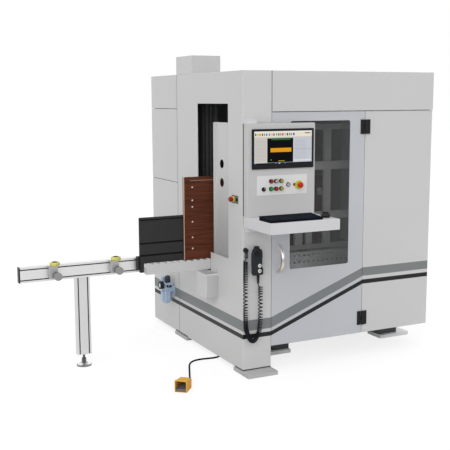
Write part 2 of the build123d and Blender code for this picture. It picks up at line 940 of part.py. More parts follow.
def curl_direction(share):
    """Direction of the wire at a share of the cord's length."""
    step = 1e-5
    return (curl(min(1, share + step)) - curl(max(0, share - step))).normalized()


def biarc(start, start_direction, end, end_direction):
    """Two arcs that meet smoothly, between two points with given directions."""
    gap = end - start
    along = gap.dot(start_direction + end_direction)
    spread = 2 * (1 - start_direction.dot(end_direction))
    reach = (math.sqrt(along * along + spread * gap.dot(gap)) - along) / spread
    joint = (start + end + (start_direction - end_direction) * reach) * 0.5
    joint_direction = (end - end_direction * reach - start - start_direction * reach).normalized()
    first = Edge.make_tangent_arc(start, start_direction, joint)
    second = Edge.make_tangent_arc(joint, joint_direction, end)
    return [first, second]


def least_gap(points, skip, diameter):
    """Least gap between stretches of a wire that lie at least skip points apart."""
    least = math.inf
    for index, point in enumerate(points):
        for other in points[index + skip:]:
            least = min(least, (point - other).length)
    return least - diameter


def pendant_cord():
    """Curly cord, one unbroken tube from the handset's strain relief to the elbow gland."""
    steps = round(4 * curl_turns)
    down = Vector(0, 0, -1)
    up = Vector(0, 0, 1)
    first = Vector(stub_x, stub_y, pendant_bottom - stub_length)
    last = Vector(gland_x, gland_y, gland_height - gland_drop)
    lead_in = first + down * curl_straight
    lead_out = last + down * curl_straight
    edges = [Edge.make_line(first, lead_in)]
    edges += biarc(lead_in, down, curl(0), curl_direction(0))
    for step in range(steps):
        begin = step / steps
        end = (step + 1) / steps
        edges += biarc(curl(begin), curl_direction(begin), curl(end), curl_direction(end))
    edges += biarc(curl(1), curl_direction(1), lead_out, up)
    edges.append(Edge.make_line(lead_out, last))
    path = Wire(edges)
    tightest = min(edge.radius for edge in edges[1:-1])
    samples = [curl(index / (4 * steps)) for index in range(4 * steps + 1)]
    gap = least_gap(samples, 8, 2 * curl_wire)
    print(f"curly cord: {curl_turns} turns, wire {path.length:.0f} long, tightest radius {tightest:.1f}, "
          f"least gap {gap:.2f}")
    section = Plane(origin=first, z_dir=down) * Circle(curl_wire)
    return sweep(section, path=path)


def in_pedal(shape):
    """Move a shape from the pedal's own axes to its place on the floor."""
    return Pos(*pedal_place, 0) * Rot(0, 0, pedal_turn) * shape


def pedal_housing():
    """Hood over the treadle, open at the front, with the treadle's pin and the cable's boss."""
    half = pedal_width / 2
    front_edge = -pedal_depth / 2
    back_edge = pedal_depth / 2
    side = Plane(origin=(-half, 0, 0), x_dir=(0, 1, 0), z_dir=(1, 0, 0))
    outline = Polyline(
        (front_edge, 0),
        (back_edge, 0),
        (back_edge, pedal_back_height),
        (front_edge, pedal_front_height),
        close=True,
    )
    hood = extrude(side * make_face(outline), pedal_width)
    top = hood.faces().sort_by(Axis.Z)[-1]
    hood = fillet(top.edges(), pedal_edge)
    room = Polyline(
        (front_edge - pedal_wall, pedal_wall),
        (back_edge - pedal_wall, pedal_wall),
        (back_edge - pedal_wall, pedal_back_height - pedal_wall),
        (front_edge - pedal_wall, pedal_front_height - pedal_wall),
        close=True,
    )
    inner = Plane(origin=(-half + pedal_wall, 0, 0), x_dir=(0, 1, 0), z_dir=(1, 0, 0))
    hood -= extrude(inner * make_face(room), pedal_width - 2 * pedal_wall)
    hinge = (-half + pedal_wall / 2, front_edge + treadle_inset, treadle_height)
    hood += rod(hinge, (1, 0, 0), treadle_pin, pedal_width - pedal_wall)
    boss = (cable_boss_offset, back_edge - pedal_wall / 2, cable_boss_height)
    hood += rod(boss, (0, 1, 0), cable_boss, cable_boss_length + pedal_wall / 2)
    return in_pedal(hood)


def pedal_treadle():
    """Treadle that turns on the pin near the front edge and rises to the back."""
    half = pedal_width / 2 - pedal_wall - treadle_gap
    hinge_line = -pedal_depth / 2 + treadle_inset
    length = pedal_depth - treadle_inset - 4 * pedal_wall
    plate = block((-half, 0, -treadle_thick / 2), (half, length, treadle_thick / 2))
    plate += rod((-half, 0, 0), (1, 0, 0), treadle_barrel, 2 * half)
    plate -= rod((-half, 0, 0), (1, 0, 0), treadle_pin + pin_gap, 2 * half)
    return in_pedal(Pos(0, hinge_line, treadle_height) * Rot(treadle_slope, 0, 0) * plate)


def cable_radii(points):
    """Bend radius at each inner point, from its shorter run and its turn."""
    radii = []
    for before, here, after in zip(points, points[1:], points[2:]):
        run_in = here - before
        run_out = after - here
        turn = math.radians(run_in.get_angle(run_out))
        radii.append(0.45 * min(run_in.length, run_out.length) / math.tan(turn / 2))
    return radii


def pedal_cable():
    """Cable from the pedal's boss over the floor to the gland under the left base tube."""
    boss_end = pedal_depth / 2 + cable_boss_length
    begin = in_pedal(Pos(cable_boss_offset, boss_end, cable_boss_height)).position
    second = in_pedal(Pos(cable_boss_offset, boss_end + cable_lead, cable_boss_height)).position
    points = [begin, second, *[Vector(*point) for point in cable_route], Vector(*cable_end)]
    radii = cable_radii(points)
    path = FilletPolyline(*points, radius=radii)
    section = Plane(origin=path @ 0, z_dir=path % 0) * Circle(cable_radius)
    cable = sweep(section, path=path)
    expected = math.pi * cable_radius ** 2 * path.length
    print("pedal cable: bend radii", [round(radius) for radius in radii])
    print(f"pedal cable: {path.length:.0f} long, volume {cable.volume / expected:.4f} of section times length")
    return cable


def wall_stop_plate():
    """Plate on the left wall with the collars of its stop, its button and a closed socket."""
    height = wall_plate_bottom + wall_plate_height / 2
    plate = block(
        (-sheet, wall_plate_front, wall_plate_bottom),
        (0, wall_plate_front + wall_plate_width, wall_plate_bottom + wall_plate_height),
    )
    collars = (
        (wall_stop_inset, wall_stop_cap, wall_stop_collar),
        (wall_button_inset, wall_stem + sheet, wall_button_collar),
    )
    for inset, radius, length in collars:
        y = wall_plate_front + inset
        plate += rod((-sheet, y, height), (-1, 0, 0), radius, length)
        plate -= rod((-sheet - length, y, height), (1, 0, 0), wall_stem + button_gap, length + 2 * sheet)
    return plate + rod((-sheet, wall_plate_front + wall_socket_inset, height), (-1, 0, 0), wall_stem, bend)


def wall_stop():
    """Mushroom of the stop on the left wall."""
    place = (-wall_stop_lift, wall_plate_front + wall_stop_inset, wall_plate_bottom + wall_plate_height / 2)
    cap = rod(place, (-1, 0, 0), wall_stop_cap, wall_stop_cap_height)
    cap = fillet(cap.faces().sort_by(Axis.X)[0].edges(), wall_stop_cap_height / 3)
    return cap + rod(place, (1, 0, 0), wall_stem, wall_stop_lift + button_depth)


def wall_button():
    """Push button beside the stop on the left wall."""
    place = (-button_proud, wall_plate_front + wall_button_inset, wall_plate_bottom + wall_plate_height / 2)
    return rod(place, (1, 0, 0), wall_stem, button_proud + button_depth)


def junction_box():
    """Junction box and its lid on the left wall."""
    body = rounded_block(
        (-box_depth, box_front, box_bottom),
        (0, box_front + box_width, box_bottom + box_height),
        Axis.X,
        box_corner,
    )
    lid = rounded_block(
        (-box_depth - box_lid, box_front, box_bottom),
        (-box_depth, box_front + box_width, box_bottom + box_height),
        Axis.X,
        box_corner,
    )
    lid = fillet(lid.faces().sort_by(Axis.X)[0].edges(), bend)
    return [body, lid]


def air_unit():
    """Bracket, regulator block with bowl and inlet, and the gauge."""
    half = air_body / 2
    arm_high = air_bottom + air_arm
    bracket = block((-air_out + half, air_middle - half, air_bottom), (0, air_middle + half, arm_high))
    plate_low = (-air_plate, air_middle - half, air_bottom - air_plate_drop)
    bracket += block(plate_low, (0, air_middle + half, arm_high))
    body = rounded_block(
        (-air_out - half, air_middle - half, air_bottom),
        (-air_out + half, air_middle + half, air_top),
        Axis.Z,
        bend,
    )
    body -= rod((-air_out, air_middle - half, air_bottom + air_height / 2), (0, 1, 0), port_radius, port_depth)
    body -= rod((-air_out, air_middle, air_top), (0, 0, -1), air_stem + pin_gap, air_stem_length)
    bowl_x = -air_out - air_bowl_shift
    outline = Plane(origin=(bowl_x, air_middle, air_bottom)) * RegularPolygon(air_bowl_radius, 8, rotation=22.5)
    bowl = extrude(outline, -air_bowl_length)
    bowl = chamfer(bowl.faces().sort_by(Axis.Z)[0].edges(), air_bowl_taper)
    diagonal = Plane(origin=(bowl_x, air_middle, air_bottom - air_bowl_length / 2), x_dir=(1, 1, 0))
    sight = Box(2 * air_bowl_slot, air_bowl_slot, air_bowl_length - air_bowl_taper)
    bowl -= diagonal * Pos(-air_bowl_radius, 0, 0) * sight
    centre = (-air_out - half, air_middle, air_bottom + air_height / 2 + gauge_rise)
    gauge = rod(centre, (-1, 0, 0), gauge_stem, gauge_stem + gauge_thick / 2)
    gauge += rod((centre[0] - gauge_stem, *centre[1:]), (-1, 0, 0), gauge_radius, gauge_thick)
    return [bracket, body, bowl, gauge]


def air_knob():
    """Pressure knob on the regulator."""
    base = (-air_out, air_middle, air_top + slide_gap)
    knob = rod(base, (0, 0, 1), air_knob_radius, air_knob_height)
    knob = fillet(knob.faces().sort_by(Axis.Z)[-1].edges(), bend)
    return knob + rod(base, (0, 0, -1), air_stem, air_stem_length - sheet)


def roller_track():
    """Channel beam with a row of small rollers that carry the board's lower edge."""
    low = (-track_out, track_front, track_low)
    high = (track_in, track_back, track_top)
    axle_height = track_top + roller_lift - roller_radius
    floor = axle_height - roller_radius - track_wall
    beam = block(low, high)
    beam -= block(
        (-track_out + track_wall, track_front + track_wall, floor),
        (track_in - track_wall, track_back - track_wall, track_top + track_wall),
    )
    beam -= block(
        (-track_out + track_wall, track_front + track_wall, track_low + track_wall),
        (track_in - track_wall, track_back - track_wall, floor - track_wall),
    )
    pieces = [beam]
    inner = track_width - 2 * track_wall
    count = math.floor((track_in + track_out - 2 * track_wall - 2 * roller_radius) / roller_pitch)
    for index in range(count):
        x = -track_out + roller_pitch * (index + 0.6)
        y = track_front + track_wall
        wheel = rod((x, y + sheet, axle_height), (0, 1, 0), roller_radius, inner - 2 * sheet)
        pieces.append(wheel + rod((x, y, axle_height), (0, 1, 0), roller_axle, inner))
    return pieces


def guide_fence():
    """Grooved back fence on the track, and the block that ties it to the rail."""
    fence_back = track_back + fence_thick
    fence_low = track_low + fence_lift
    fence = block((-fence_out, track_back, fence_low), (left, fence_back, track_low + fence_height))
    for low, high in fence_grooves:
        fence -= block(
            (-fence_out - sheet, track_back - sheet, track_low + low),
            (left + sheet, track_back + fence_groove, track_low + high),
        )
    link = block(
        (-link_out, fence_back, track_low + link_lift),
        (-link_out + link_width, rail_front, track_low + link_height),
    )
    return [fence, link]


def slotted_bar(low, high, run, faces):
    """An aluminium profile with two slots along each of the named faces."""
    bar = block(low, high)
    start = "XYZ".index(run)
    across = 3 - start - 1
    for y, way in faces:
        for edge in (low[across] + rail_slot_edge, high[across] - rail_slot_edge):
            slot_low = [low[0] - sheet, min(y, y + way * rail_slot_depth), low[2] - sheet]
            slot_high = [high[0] + sheet, max(y, y + way * rail_slot_depth), high[2] + sheet]
            slot_low[across] = edge - rail_slot / 2
            slot_high[across] = edge + rail_slot / 2
            bar -= block(slot_low, slot_high)
    return bar


def side_rail():
    """Slotted rail that carries the stops, with its end cap."""
    low = (-rail_out, rail_front, rail_bottom)
    high = (rail_in, rail_back, rail_top)
    rail = slotted_bar(low, high, "X", ((rail_front, 1), (rail_back, -1)))
    cap = block((-rail_out - rail_cap, rail_front, rail_bottom), (-rail_out, rail_back, rail_top))
    return [rail, cap]


def rail_leg():
    """Slotted leg behind the rail, with the bore of its levelling foot."""
    low = (-leg_middle - leg_width / 2, rail_back, leg_bottom)
    high = (-leg_middle + leg_width / 2, rail_back + rail_depth, rail_top - leg_drop)
    leg = slotted_bar(low, high, "Z", ((rail_back, 1), (rail_back + rail_depth, -1)))
    middle = (-leg_middle, rail_back + rail_depth / 2, leg_bottom)
    return leg - rod(middle, (0, 0, 1), foot_stem + pin_gap, foot_bore_depth)


def levelling_foot():
    """Round foot with its threaded stem and nut."""
    x = -leg_middle
    y = rail_back + rail_depth / 2
    disc = rod((x, y, 0), (0, 0, 1), foot_disc, foot_stem)
    on_base = (Align.CENTER, Align.CENTER, Align.MIN)
    dome = Pos(x, y, foot_stem) * Cone(foot_disc, foot_cone, foot_cone, align=on_base)
    stem = rod((x, y, foot_stem), (0, 0, 1), foot_stem, leg_bottom + foot_bore_depth / 2)
    nut = Plane(origin=(x, y, foot_stem + foot_cone)) * RegularPolygon(foot_cone, 6)
    return disc + dome + stem + extrude(nut, foot_nut)


def stop_slide(middle):
    """Stop block that rides in the rail's upper slot, with its clamp knob and the roller's axle."""
    x = -middle
    half = stop_width / 2
    face = rail_front - slide_gap
    stop = rounded_block((x - half, stop_front, stop_bottom), (x + half, face, stop_top), Axis.Z, bend)
    slot = rail_top - rail_slot_edge
    grip = rail_slot / 2 - slide_gap
    tongue = rail_front + rail_slot_depth - slide_gap
    stop += block((x - half, face, slot - grip), (x + half, tongue, slot + grip))
    knob = rod((x + knob_offset, stop_front - knob_neck, knob_height), (0, -1, 0), knob_radius, knob_length)
    knob = fillet(knob.faces().sort_by(Axis.Y)[0].edges(), bend)
    stop += knob
    stop += rod((x + knob_offset, stop_front, knob_height), (0, -1, 0), knob_radius / 3, knob_neck)
    axle = (x + stop_wheel_offset, stop_wheel_y, stop_top)
    stop += rod(axle, (0, 0, 1), stop_axle, stop_wheel_width + 2 * slide_gap)
    head = (axle[0], axle[1], stop_top + stop_wheel_width + 2 * slide_gap)
    return stop + rod(head, (0, 0, 1), stop_axle_head, bend)


def stop_roller(middle):
    """Soft roller that the board runs against."""
    base = (-middle + stop_wheel_offset, stop_wheel_y, stop_top + slide_gap)
    wheel = rod(base, (0, 0, 1), stop_wheel, stop_wheel_width)
    wheel = fillet(wheel.edges().filter_by(GeomType.CIRCLE), bend)
    return wheel - rod(base, (0, 0, 1), stop_axle + pin_gap, stop_wheel_width)


def sample_board():
    """The board in work, on edge, with a row of drilled holes."""
    board = block((-board_left, board_front, board_low), (board_end, board_back, board_low + board_height))
    for height in board_hole_heights:
        mouth = (-board_left + board_hole_inset, board_front, board_low + height)
        board -= rod(mouth, (0, 1, 0), board_hole_radius, board_thick)
    return board


def head_column():
    """Column of the vertical axis with guides, screw, bearings and motor."""
    high_x = tower_column_left + tower_column_width
    column_back = tower_column_front + tower_column_depth
    wall = tower_column_wall
    column = block((tower_column_left, tower_column_front, base_high), (high_x, column_back, ring_high))
    column -= block(
        (tower_column_left + wall, tower_column_front + wall, base_high - wall),
        (high_x - wall, column_back - wall, ring_high - wall),
    )
    pieces = [column]
    for side in (-1, 1):
        x = column_middle + side * guide_spread / 2
        pieces.append(block(
            (x - guide_width / 2, guide_front, guide_bottom),
            (x + guide_width / 2, tower_column_front, guide_top),
        ))
    screw_y = tower_column_front - guide_depth / 2
    half = guide_width
    for low in (guide_bottom, guide_top - screw_block):
        pieces.append(block(
            (column_middle - half, guide_front, low),
            (column_middle + half, tower_column_front, low + screw_block),
        ))
    length = guide_top - guide_bottom - 2 * screw_block
    pieces.append(rod((column_middle, screw_y, guide_bottom + screw_block), (0, 0, 1), screw_radius, length))
    pieces.append(block(
        (column_middle - motor_size / 2, tower_column_front, ring_high),
        (column_middle + motor_size / 2, tower_column_front + motor_size, ring_high + motor_height),
    ))
    return pieces


def head_carriage():
    """Plate that runs on the column's guides, with the screw's nut and the bores of the head's rods."""
    low = carriage_middle - carriage_height / 2
    half = carriage_width / 2
    plate = block(
        (column_middle - half, carriage_front, low),
        (column_middle + half, carriage_back, low + carriage_height),
    )
    nut_half = guide_spread / 2 - guide_width / 2 - slide_gap
    screw_y = tower_column_front - guide_depth / 2
    nut_low = low + carriage_height / 3
    plate += block(
        (column_middle - nut_half, carriage_back, nut_low),
        (column_middle + nut_half, tower_column_front - bend, nut_low + carriage_height / 3),
    )
    plate -= rod((column_middle, screw_y, nut_low), (0, 0, 1), screw_radius + slide_gap, carriage_height / 3)
    for side in (-1, 1):
        mouth = (column_middle + side * head_rod_spread / 2, carriage_front, carriage_middle)
        plate -= rod(mouth, (0, 1, 0), head_rod + pin_gap, carriage_thick)
    return plate


def drill_head():
    """Head block with its guide rods, its motor and the spindle's bore."""
    half = head_width / 2
    low = carriage_middle - head_height / 2
    head = block((column_middle - half, head_front, low), (column_middle + half, head_back, low + head_height))
    for side in (-1, 1):
        root = (column_middle + side * head_rod_spread / 2, head_back, carriage_middle)
        head += rod(root, (0, 1, 0), head_rod, head_gap + carriage_thick + head_rod_length)
    motor_half = head_motor / 2
    motor_low = low + head_height
    middle_y = (head_front + head_back) / 2
    head += block(
        (column_middle - motor_half, middle_y - motor_half, motor_low),
        (column_middle + motor_half, middle_y + motor_half, motor_low + head_motor_height),
    )
    mouth = (column_middle, head_front, carriage_middle)
    return head - rod(mouth, (0, 1, 0), spindle_radius + pin_gap, spindle_hold)


def drill_spindle():
    """Spindle with its chuck and drill."""
    face = head_front - slide_gap
    chuck = drill_tip + drill_length
    shape = rod((column_middle, chuck, carriage_middle), (0, 1, 0), chuck_radius, chuck_length)
    shaft = slide_gap + spindle_hold - sheet
    shape += rod((column_middle, face, carriage_middle), (0, 1, 0), spindle_radius, shaft)
    return shape + rod((column_middle, drill_tip, carriage_middle), (0, 1, 0), drill_radius, drill_length)


def machine_bed():
    """Apron plate and gussets of the bed, the guide of the gripper, and the frame that presses the board."""
    pieces = [apron_plate()]
    apron_back = apron_front + apron_thick
    outline = Polyline(
        (apron_back, base_high),
        (bed_front + bed_width, base_high),
        (gusset_back, apron_bottom),
        (gusset_back, rail_bottom),
        (rail_front - bend, rail_bottom),
        (rail_front - bend, track_low),
        (apron_back, track_low),
        close=True,
    )
    for x in gusset_places:
        side = Plane(origin=(x, 0, 0), x_dir=(0, 1, 0), z_dir=(1, 0, 0))
        pieces.append(extrude(side * make_face(outline), gusset))
    pieces.append(block(
        (feed_guide_left, rail_front, rail_bottom),
        (right_in, rail_front + feed_guide_size, rail_bottom + feed_guide_size),
    ))
    return pieces + press_frame()


def apron_plate():
    """Plate along the front of the bed with two rows of holes."""
    plate = block((apron_left, apron_front, apron_bottom), (right_in, apron_front + apron_thick, apron_top))
    count = math.floor((right_in - apron_left) / apron_hole_pitch)
    for height in apron_rows:
        for index in range(count):
            x = apron_left + apron_hole_pitch * (index + 0.5)
            plate -= rod((x, apron_front, height), (0, 1, 0), apron_hole, apron_thick)
    return plate


def press_frame():
    """Two posts on the bed with rails, uprights and small wheels in front of the board."""
    rail_plane = press_front + press_post - press_bar
    bar_plane = press_front + press_post
    press_right = right_in - press_post_width
    pieces = []
    for x in (press_left, press_right):
        top = press_rails[-1][1]
        pieces.append(block((x, press_front, base_high), (x + press_post_width, bar_plane, top)))
    for low, high in press_rails:
        pieces.append(block((press_left + press_post_width, rail_plane, low), (press_right, bar_plane, high)))
    wheel_y = board_front - slide_gap - press_wheel
    for low, high in press_uprights:
        bar = block((low, bar_plane, press_rails[0][0]), (high, bar_plane + press_bar, press_rails[-1][1]))
        middle = (low + high) / 2
        half = press_arm / 2
        arm = block(
            (middle - half, bar_plane + press_bar, press_wheel_height - press_arm),
            (middle + half, wheel_y + half, press_wheel_height),
        )
        wheel = rod((middle, wheel_y, press_wheel_height), (0, 0, 1), press_wheel, press_arm)
        pieces += [bar, arm, wheel]
    return pieces


def feed_gripper():
    """Clamp round the board's right end, on a slide that straddles its guide."""
    guide_back = rail_front + feed_guide_size
    guide_high = rail_bottom + feed_guide_size
    end = board_end + gripper_end
    begin = end - gripper_length
    near = rail_front - slide_gap - gripper_cheek
    far = guide_back + slide_gap + gripper_cheek
    grip = block((begin, near, guide_high + slide_gap), (end, far, board_low))
    grip += block((begin, near, rail_bottom + gripper_cheek), (end, near + gripper_cheek, board_low))
    grip += block((begin, far - gripper_cheek, rail_bottom + gripper_cheek), (end, far, board_low))
    high = board_low + gripper_height
    grip += block((begin, board_back, board_low), (end, near + 2 * gripper_cheek, high))
    jaw = board_front - gripper_jaw
    grip += block((board_end, jaw, board_low), (end, board_back, high))
    return grip + block((board_end - gripper_bite, jaw, board_low), (board_end, board_front, high))


def control_plate():
    """Partition in front of the rear bay, with the drives on its back."""
    plate = block((left, middle_back, base_high), (right, middle_back + control_thick, ring_low))
    pieces = [plate]
    for x in drive_lefts:
        low = (x, middle_back + control_thick, drive_bottom)
        high = (x + drive_width, middle_back + control_thick + drive_depth, drive_bottom + drive_height)
        pieces.append(block(low, high))
    return pieces


os.makedirs("parts", exist_ok=True)

# Fixed pieces
save("machine_frame", *machine_frame())
save("left_wall", left_wall())
save("slot_cover", slot_cover())
save("enclosure_panels", *enclosure_panels())
save("column_cover", pan((0, 0, foot_thick), (column_width, fold, cabinet_height), "+Y"))
save("fascia", pan((door_left, -fascia_proud, fascia_low), (cabinet_width, fold, cabinet_height), "+Y"))
save("right_front_panel", pan((panel_left, 0, skirt_height), (cabinet_width, fold, fascia_low - seam), "+Y"))
save("tower_cover", pan(
    (0, tower_front, cabinet_height),
    (tower_width, side_seam, cabinet_height + tower_height),
    "-Z",
))
save("control_plate", *control_plate())
save("machine_bed", *machine_bed())
save("head_column", *head_column())
save("frame_hinges", *frame_hinges())
save("console_brackets", *console_brackets())
save("wall_stop_plate", wall_stop_plate())
save("junction_box", *junction_box())
save("air_unit", *air_unit())
save("roller_track", *roller_track())
save("guide_fence", *guide_fence())
save("side_rail", *side_rail())
save("rail_leg", rail_leg())
save("pendant_body", *pendant_body())
save("cord_glands", *cord_glands())
save("pendant_cord", pendant_cord())
save("pedal_housing", pedal_housing())
save("pedal_cable", pedal_cable())

# Door
save("door_panel", door_panel())
save("door_window", window_block(window_lap, sheet, sheet + glass))
save("door_handle", door_handle())
save("door_hinges", *door_hinges())

# Console
save("console_housing", *console_housing())
save("monitor", monitor())
save("keyboard_tray", keyboard_tray())
save("keyboard", keyboard())
save("mouse", mouse())
for number, (x, z) in enumerate(button_places(), start=1):
    save(f"push_button_{number}", push_button(x, z))
save("key_switch", rotary(key_place, bend))
save("selector", rotary(selector_place, 3 * bend))
save("console_stop", console_stop())

# Other pieces that move
save("wall_stop", wall_stop())
save("wall_button", wall_button())
save("pendant_dial", pendant_dial())
for number, height in enumerate(pendant_button_heights, start=1):
    save(f"pendant_button_{number}", pendant_button(height))
save("pedal_treadle", pedal_treadle())
for name, middle in zip(("left", "right"), stop_middles):
    save(f"stop_slide_{name}", stop_slide(middle))
    save(f"stop_roller_{name}", stop_roller(middle))
save("levelling_foot", levelling_foot())
save("air_knob", air_knob())
save("head_carriage", head_carriage())
save("drill_head", drill_head())
save("drill_spindle", drill_spindle())
save("feed_gripper", feed_gripper())
save("sample_board", sample_board())
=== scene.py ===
# %% [markdown]
# # A vertical boring machine for furniture boards
# The machine's pieces come from its CAD model, at their real size and place. This lesson gives each of them
# its finish, models the small pieces that a photograph shows up close, and sets the camera and the light.
# Everything is in metres: X runs along the front to the right, Y into the depth, Z up from the floor.

# %% Load the machine
import json
import math

import bmesh
import bpy
from mathutils import Matrix, Vector


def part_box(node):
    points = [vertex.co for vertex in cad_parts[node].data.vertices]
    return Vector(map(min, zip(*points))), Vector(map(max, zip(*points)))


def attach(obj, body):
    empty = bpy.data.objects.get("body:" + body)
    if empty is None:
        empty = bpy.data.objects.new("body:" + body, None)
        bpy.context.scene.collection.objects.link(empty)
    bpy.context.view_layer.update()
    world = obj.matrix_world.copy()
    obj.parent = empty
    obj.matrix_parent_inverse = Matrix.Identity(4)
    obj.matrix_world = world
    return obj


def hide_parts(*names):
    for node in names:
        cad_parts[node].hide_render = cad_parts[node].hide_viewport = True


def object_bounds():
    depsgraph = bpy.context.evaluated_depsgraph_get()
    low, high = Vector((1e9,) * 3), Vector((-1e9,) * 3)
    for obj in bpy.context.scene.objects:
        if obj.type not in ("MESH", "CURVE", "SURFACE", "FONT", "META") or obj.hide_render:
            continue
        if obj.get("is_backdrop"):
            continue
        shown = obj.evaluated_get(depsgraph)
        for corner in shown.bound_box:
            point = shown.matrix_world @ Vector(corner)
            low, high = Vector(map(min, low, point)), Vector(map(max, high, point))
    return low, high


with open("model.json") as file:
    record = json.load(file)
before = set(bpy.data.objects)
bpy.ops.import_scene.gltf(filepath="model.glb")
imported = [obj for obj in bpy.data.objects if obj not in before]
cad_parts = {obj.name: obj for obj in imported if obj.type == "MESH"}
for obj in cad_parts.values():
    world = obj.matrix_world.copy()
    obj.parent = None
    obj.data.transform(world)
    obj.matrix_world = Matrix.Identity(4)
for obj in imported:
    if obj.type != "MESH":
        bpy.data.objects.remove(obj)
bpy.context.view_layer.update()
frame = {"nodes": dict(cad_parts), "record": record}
nodes = frame["nodes"]
scene = bpy.context.scene
print("pieces from the CAD model:", len(nodes))

# %% [markdown]
# ## The camera
# The photograph was taken from the left of the machine at the height of a raised arm. A camera's place and
# turn can be set by hand until the edges line up, but the edges of a cabinet are straight and square, so the
# pose was worked out from them. Blender's camera looks along its own -Z with +Y up, so the three directions
# of the view become the columns of its matrix.

# %% Camera
camera_place = Vector((-2.4314, -4.7013, 1.7734))
camera_yaw = math.radians(26.124)
camera_pitch = math.radians(8.457)
camera_roll = math.radians(-0.241)
camera_lens = 67.588

ahead = Vector((math.sin(camera_yaw) * math.cos(camera_pitch),
                math.cos(camera_yaw) * math.cos(camera_pitch),
                -math.sin(camera_pitch)))
level = Vector((math.cos(camera_yaw), -math.sin(camera_yaw), 0.0))
above = level.cross(ahead)
right = level * math.cos(camera_roll) + above * math.sin(camera_roll)
upward = above * math.cos(camera_roll) - level * math.sin(camera_roll)
lens_data = bpy.data.cameras.new("photo_camera")
lens_data.lens = camera_lens
camera = bpy.data.objects.new("photo_camera", lens_data)
camera_turn = Matrix((right, upward, -ahead)).transposed().to_4x4()
camera.matrix_world = Matrix.Translation(camera_place) @ camera_turn
scene.collection.objects.link(camera)
scene.camera = camera
print("camera lens", camera_lens, "mm")

# %% [markdown]
# ## Shader maths
# Paint lines, wood grain and brushed metal all come from sums of positions and noise. Wiring Math nodes one
# by one is hard to read, so one small class wraps a socket: an arithmetic sign between two of them adds the
# Math node. Every other kind of node comes from its one method, settings first and sockets after.

# %% Socket arithmetic
class Wire:
    """One output socket of a shader tree. Sums written with it add Math nodes."""

    def __init__(self, socket):
        self.socket = socket

    def node(self, kind, settings, inputs):
        """Add a node with its settings, then the values or links of its sockets, and give its outputs."""
        made = self.socket.id_data.nodes.new(kind)
        for name, value in settings.items():
            if name == "stops":
                elements = made.color_ramp.elements
                for index, (share, colour) in enumerate(value):
                    stop = elements[index] if index < 2 else elements.new(share)
                    stop.position = share
                    stop.color = colour
            else:
                setattr(made, name, value)
        for name, value in inputs.items():
            if isinstance(value, Wire):
                self.socket.id_data.links.new(value.socket, made.inputs[name])
            else:
                made.inputs[name].default_value = value
        return [Wire(socket) for socket in made.outputs]

    def sum(self, operation, first, second):
        return self.node("ShaderNodeMath", {"operation": operation}, {0: first, 1: second})[0]

    def __add__(self, other):
        return self.sum("ADD", self, other)

    def __sub__(self, other):
        return self.sum("SUBTRACT", self, other)

    def __mul__(self, other):
        return self.sum("MULTIPLY", self, other)

    def __truediv__(self, other):
        return self.sum("DIVIDE", self, other)

    def __mod__(self, other):
        return self.sum("FLOORED_MODULO", self, other)

    def __gt__(self, other):
        return self.sum("GREATER_THAN", self, other)

    def __lt__(self, other):
        return self.sum("LESS_THAN", self, other)

    def __rsub__(self, other):
        return self.sum("SUBTRACT", other, self)

    def __rtruediv__(self, other):
        return self.sum("DIVIDE", other, self)

    def __rmod__(self, other):
        return self.sum("FLOORED_MODULO", other, self)

    def __abs__(self):
        return self.sum("ABSOLUTE", self, 0.0)

    __radd__ = __add__
    __rmul__ = __mul__


print("arithmetic signs now add Math nodes")

# %% Helpers for finishes
finishes = {}
even = (1.0, 1.0, 1.0)


def new_finish(name):
    """A new material, the place on the piece as one socket, and its X, Y and Z."""
    material = bpy.data.materials.new(name)
    material.use_nodes = True
    finishes[name] = material
    coordinates = material.node_tree.nodes.new("ShaderNodeTexCoord")
    place = Wire(coordinates.outputs["Object"])
    return material, place, *place.node("ShaderNodeSeparateXYZ", {}, {0: place})


def set_finish(material, shade, roughness, normal=None, gloss=0.2, **others):
    """Give the surface shader its colour, roughness, relief, gloss and other values or links."""
    sockets = {"Base Color": shade, "Roughness": roughness, "Specular IOR Level": gloss, **others}
    if normal:
        sockets["Normal"] = normal
    shader = material.node_tree.nodes["Principled BSDF"]
    for name, value in sockets.items():
        if isinstance(value, Wire):
            material.node_tree.links.new(value.socket, shader.inputs[name])
        else:
            shader.inputs[name].default_value = value
    print("finish:", material.name)


def mix(share, first, second):
    """One colour where the share is nought, and another where it is one."""
    return share.node("ShaderNodeMix", {"data_type": "RGBA"}, {0: share, 6: first, 7: second})[2]


def noise(place, scale, detail=2.0, stretch=even):
    """Soft noise about one half, with its grain stretched along the axes."""
    spread = place.node("ShaderNodeMapping", {}, {"Vector": place, "Scale": stretch})[0]
    settings = {"Vector": spread, "Scale": scale, "Detail": detail}
    return place.node("ShaderNodeTexNoise", {}, settings)[0]


def bump(height, strength, depth):
    """A normal that follows a height, with the depth in metres."""
    settings = {"Height": height, "Strength": strength, "Distance": depth}
    return height.node("ShaderNodeBump", {}, settings)[0]


def tone(colour, share):
    """A darker or lighter tone of a colour."""
    return [share * level for level in colour] + [1.0]


print("shader helpers are ready")

# %% [markdown]
# ## Powder coat
# The cabinet is folded sheet steel with a light grey powder coat. Close up, such a coat has a fine orange
# peel, so a small noise feeds a bump, and a wide faint noise keeps large panels from looking flat. What is
# painted on a piece by place comes from a function of its own, which is handed to the coat.

# %% Coat and plain paints
cloud_scale = 2.2
peel_scale = 420.0
peel_depth = 0.0004


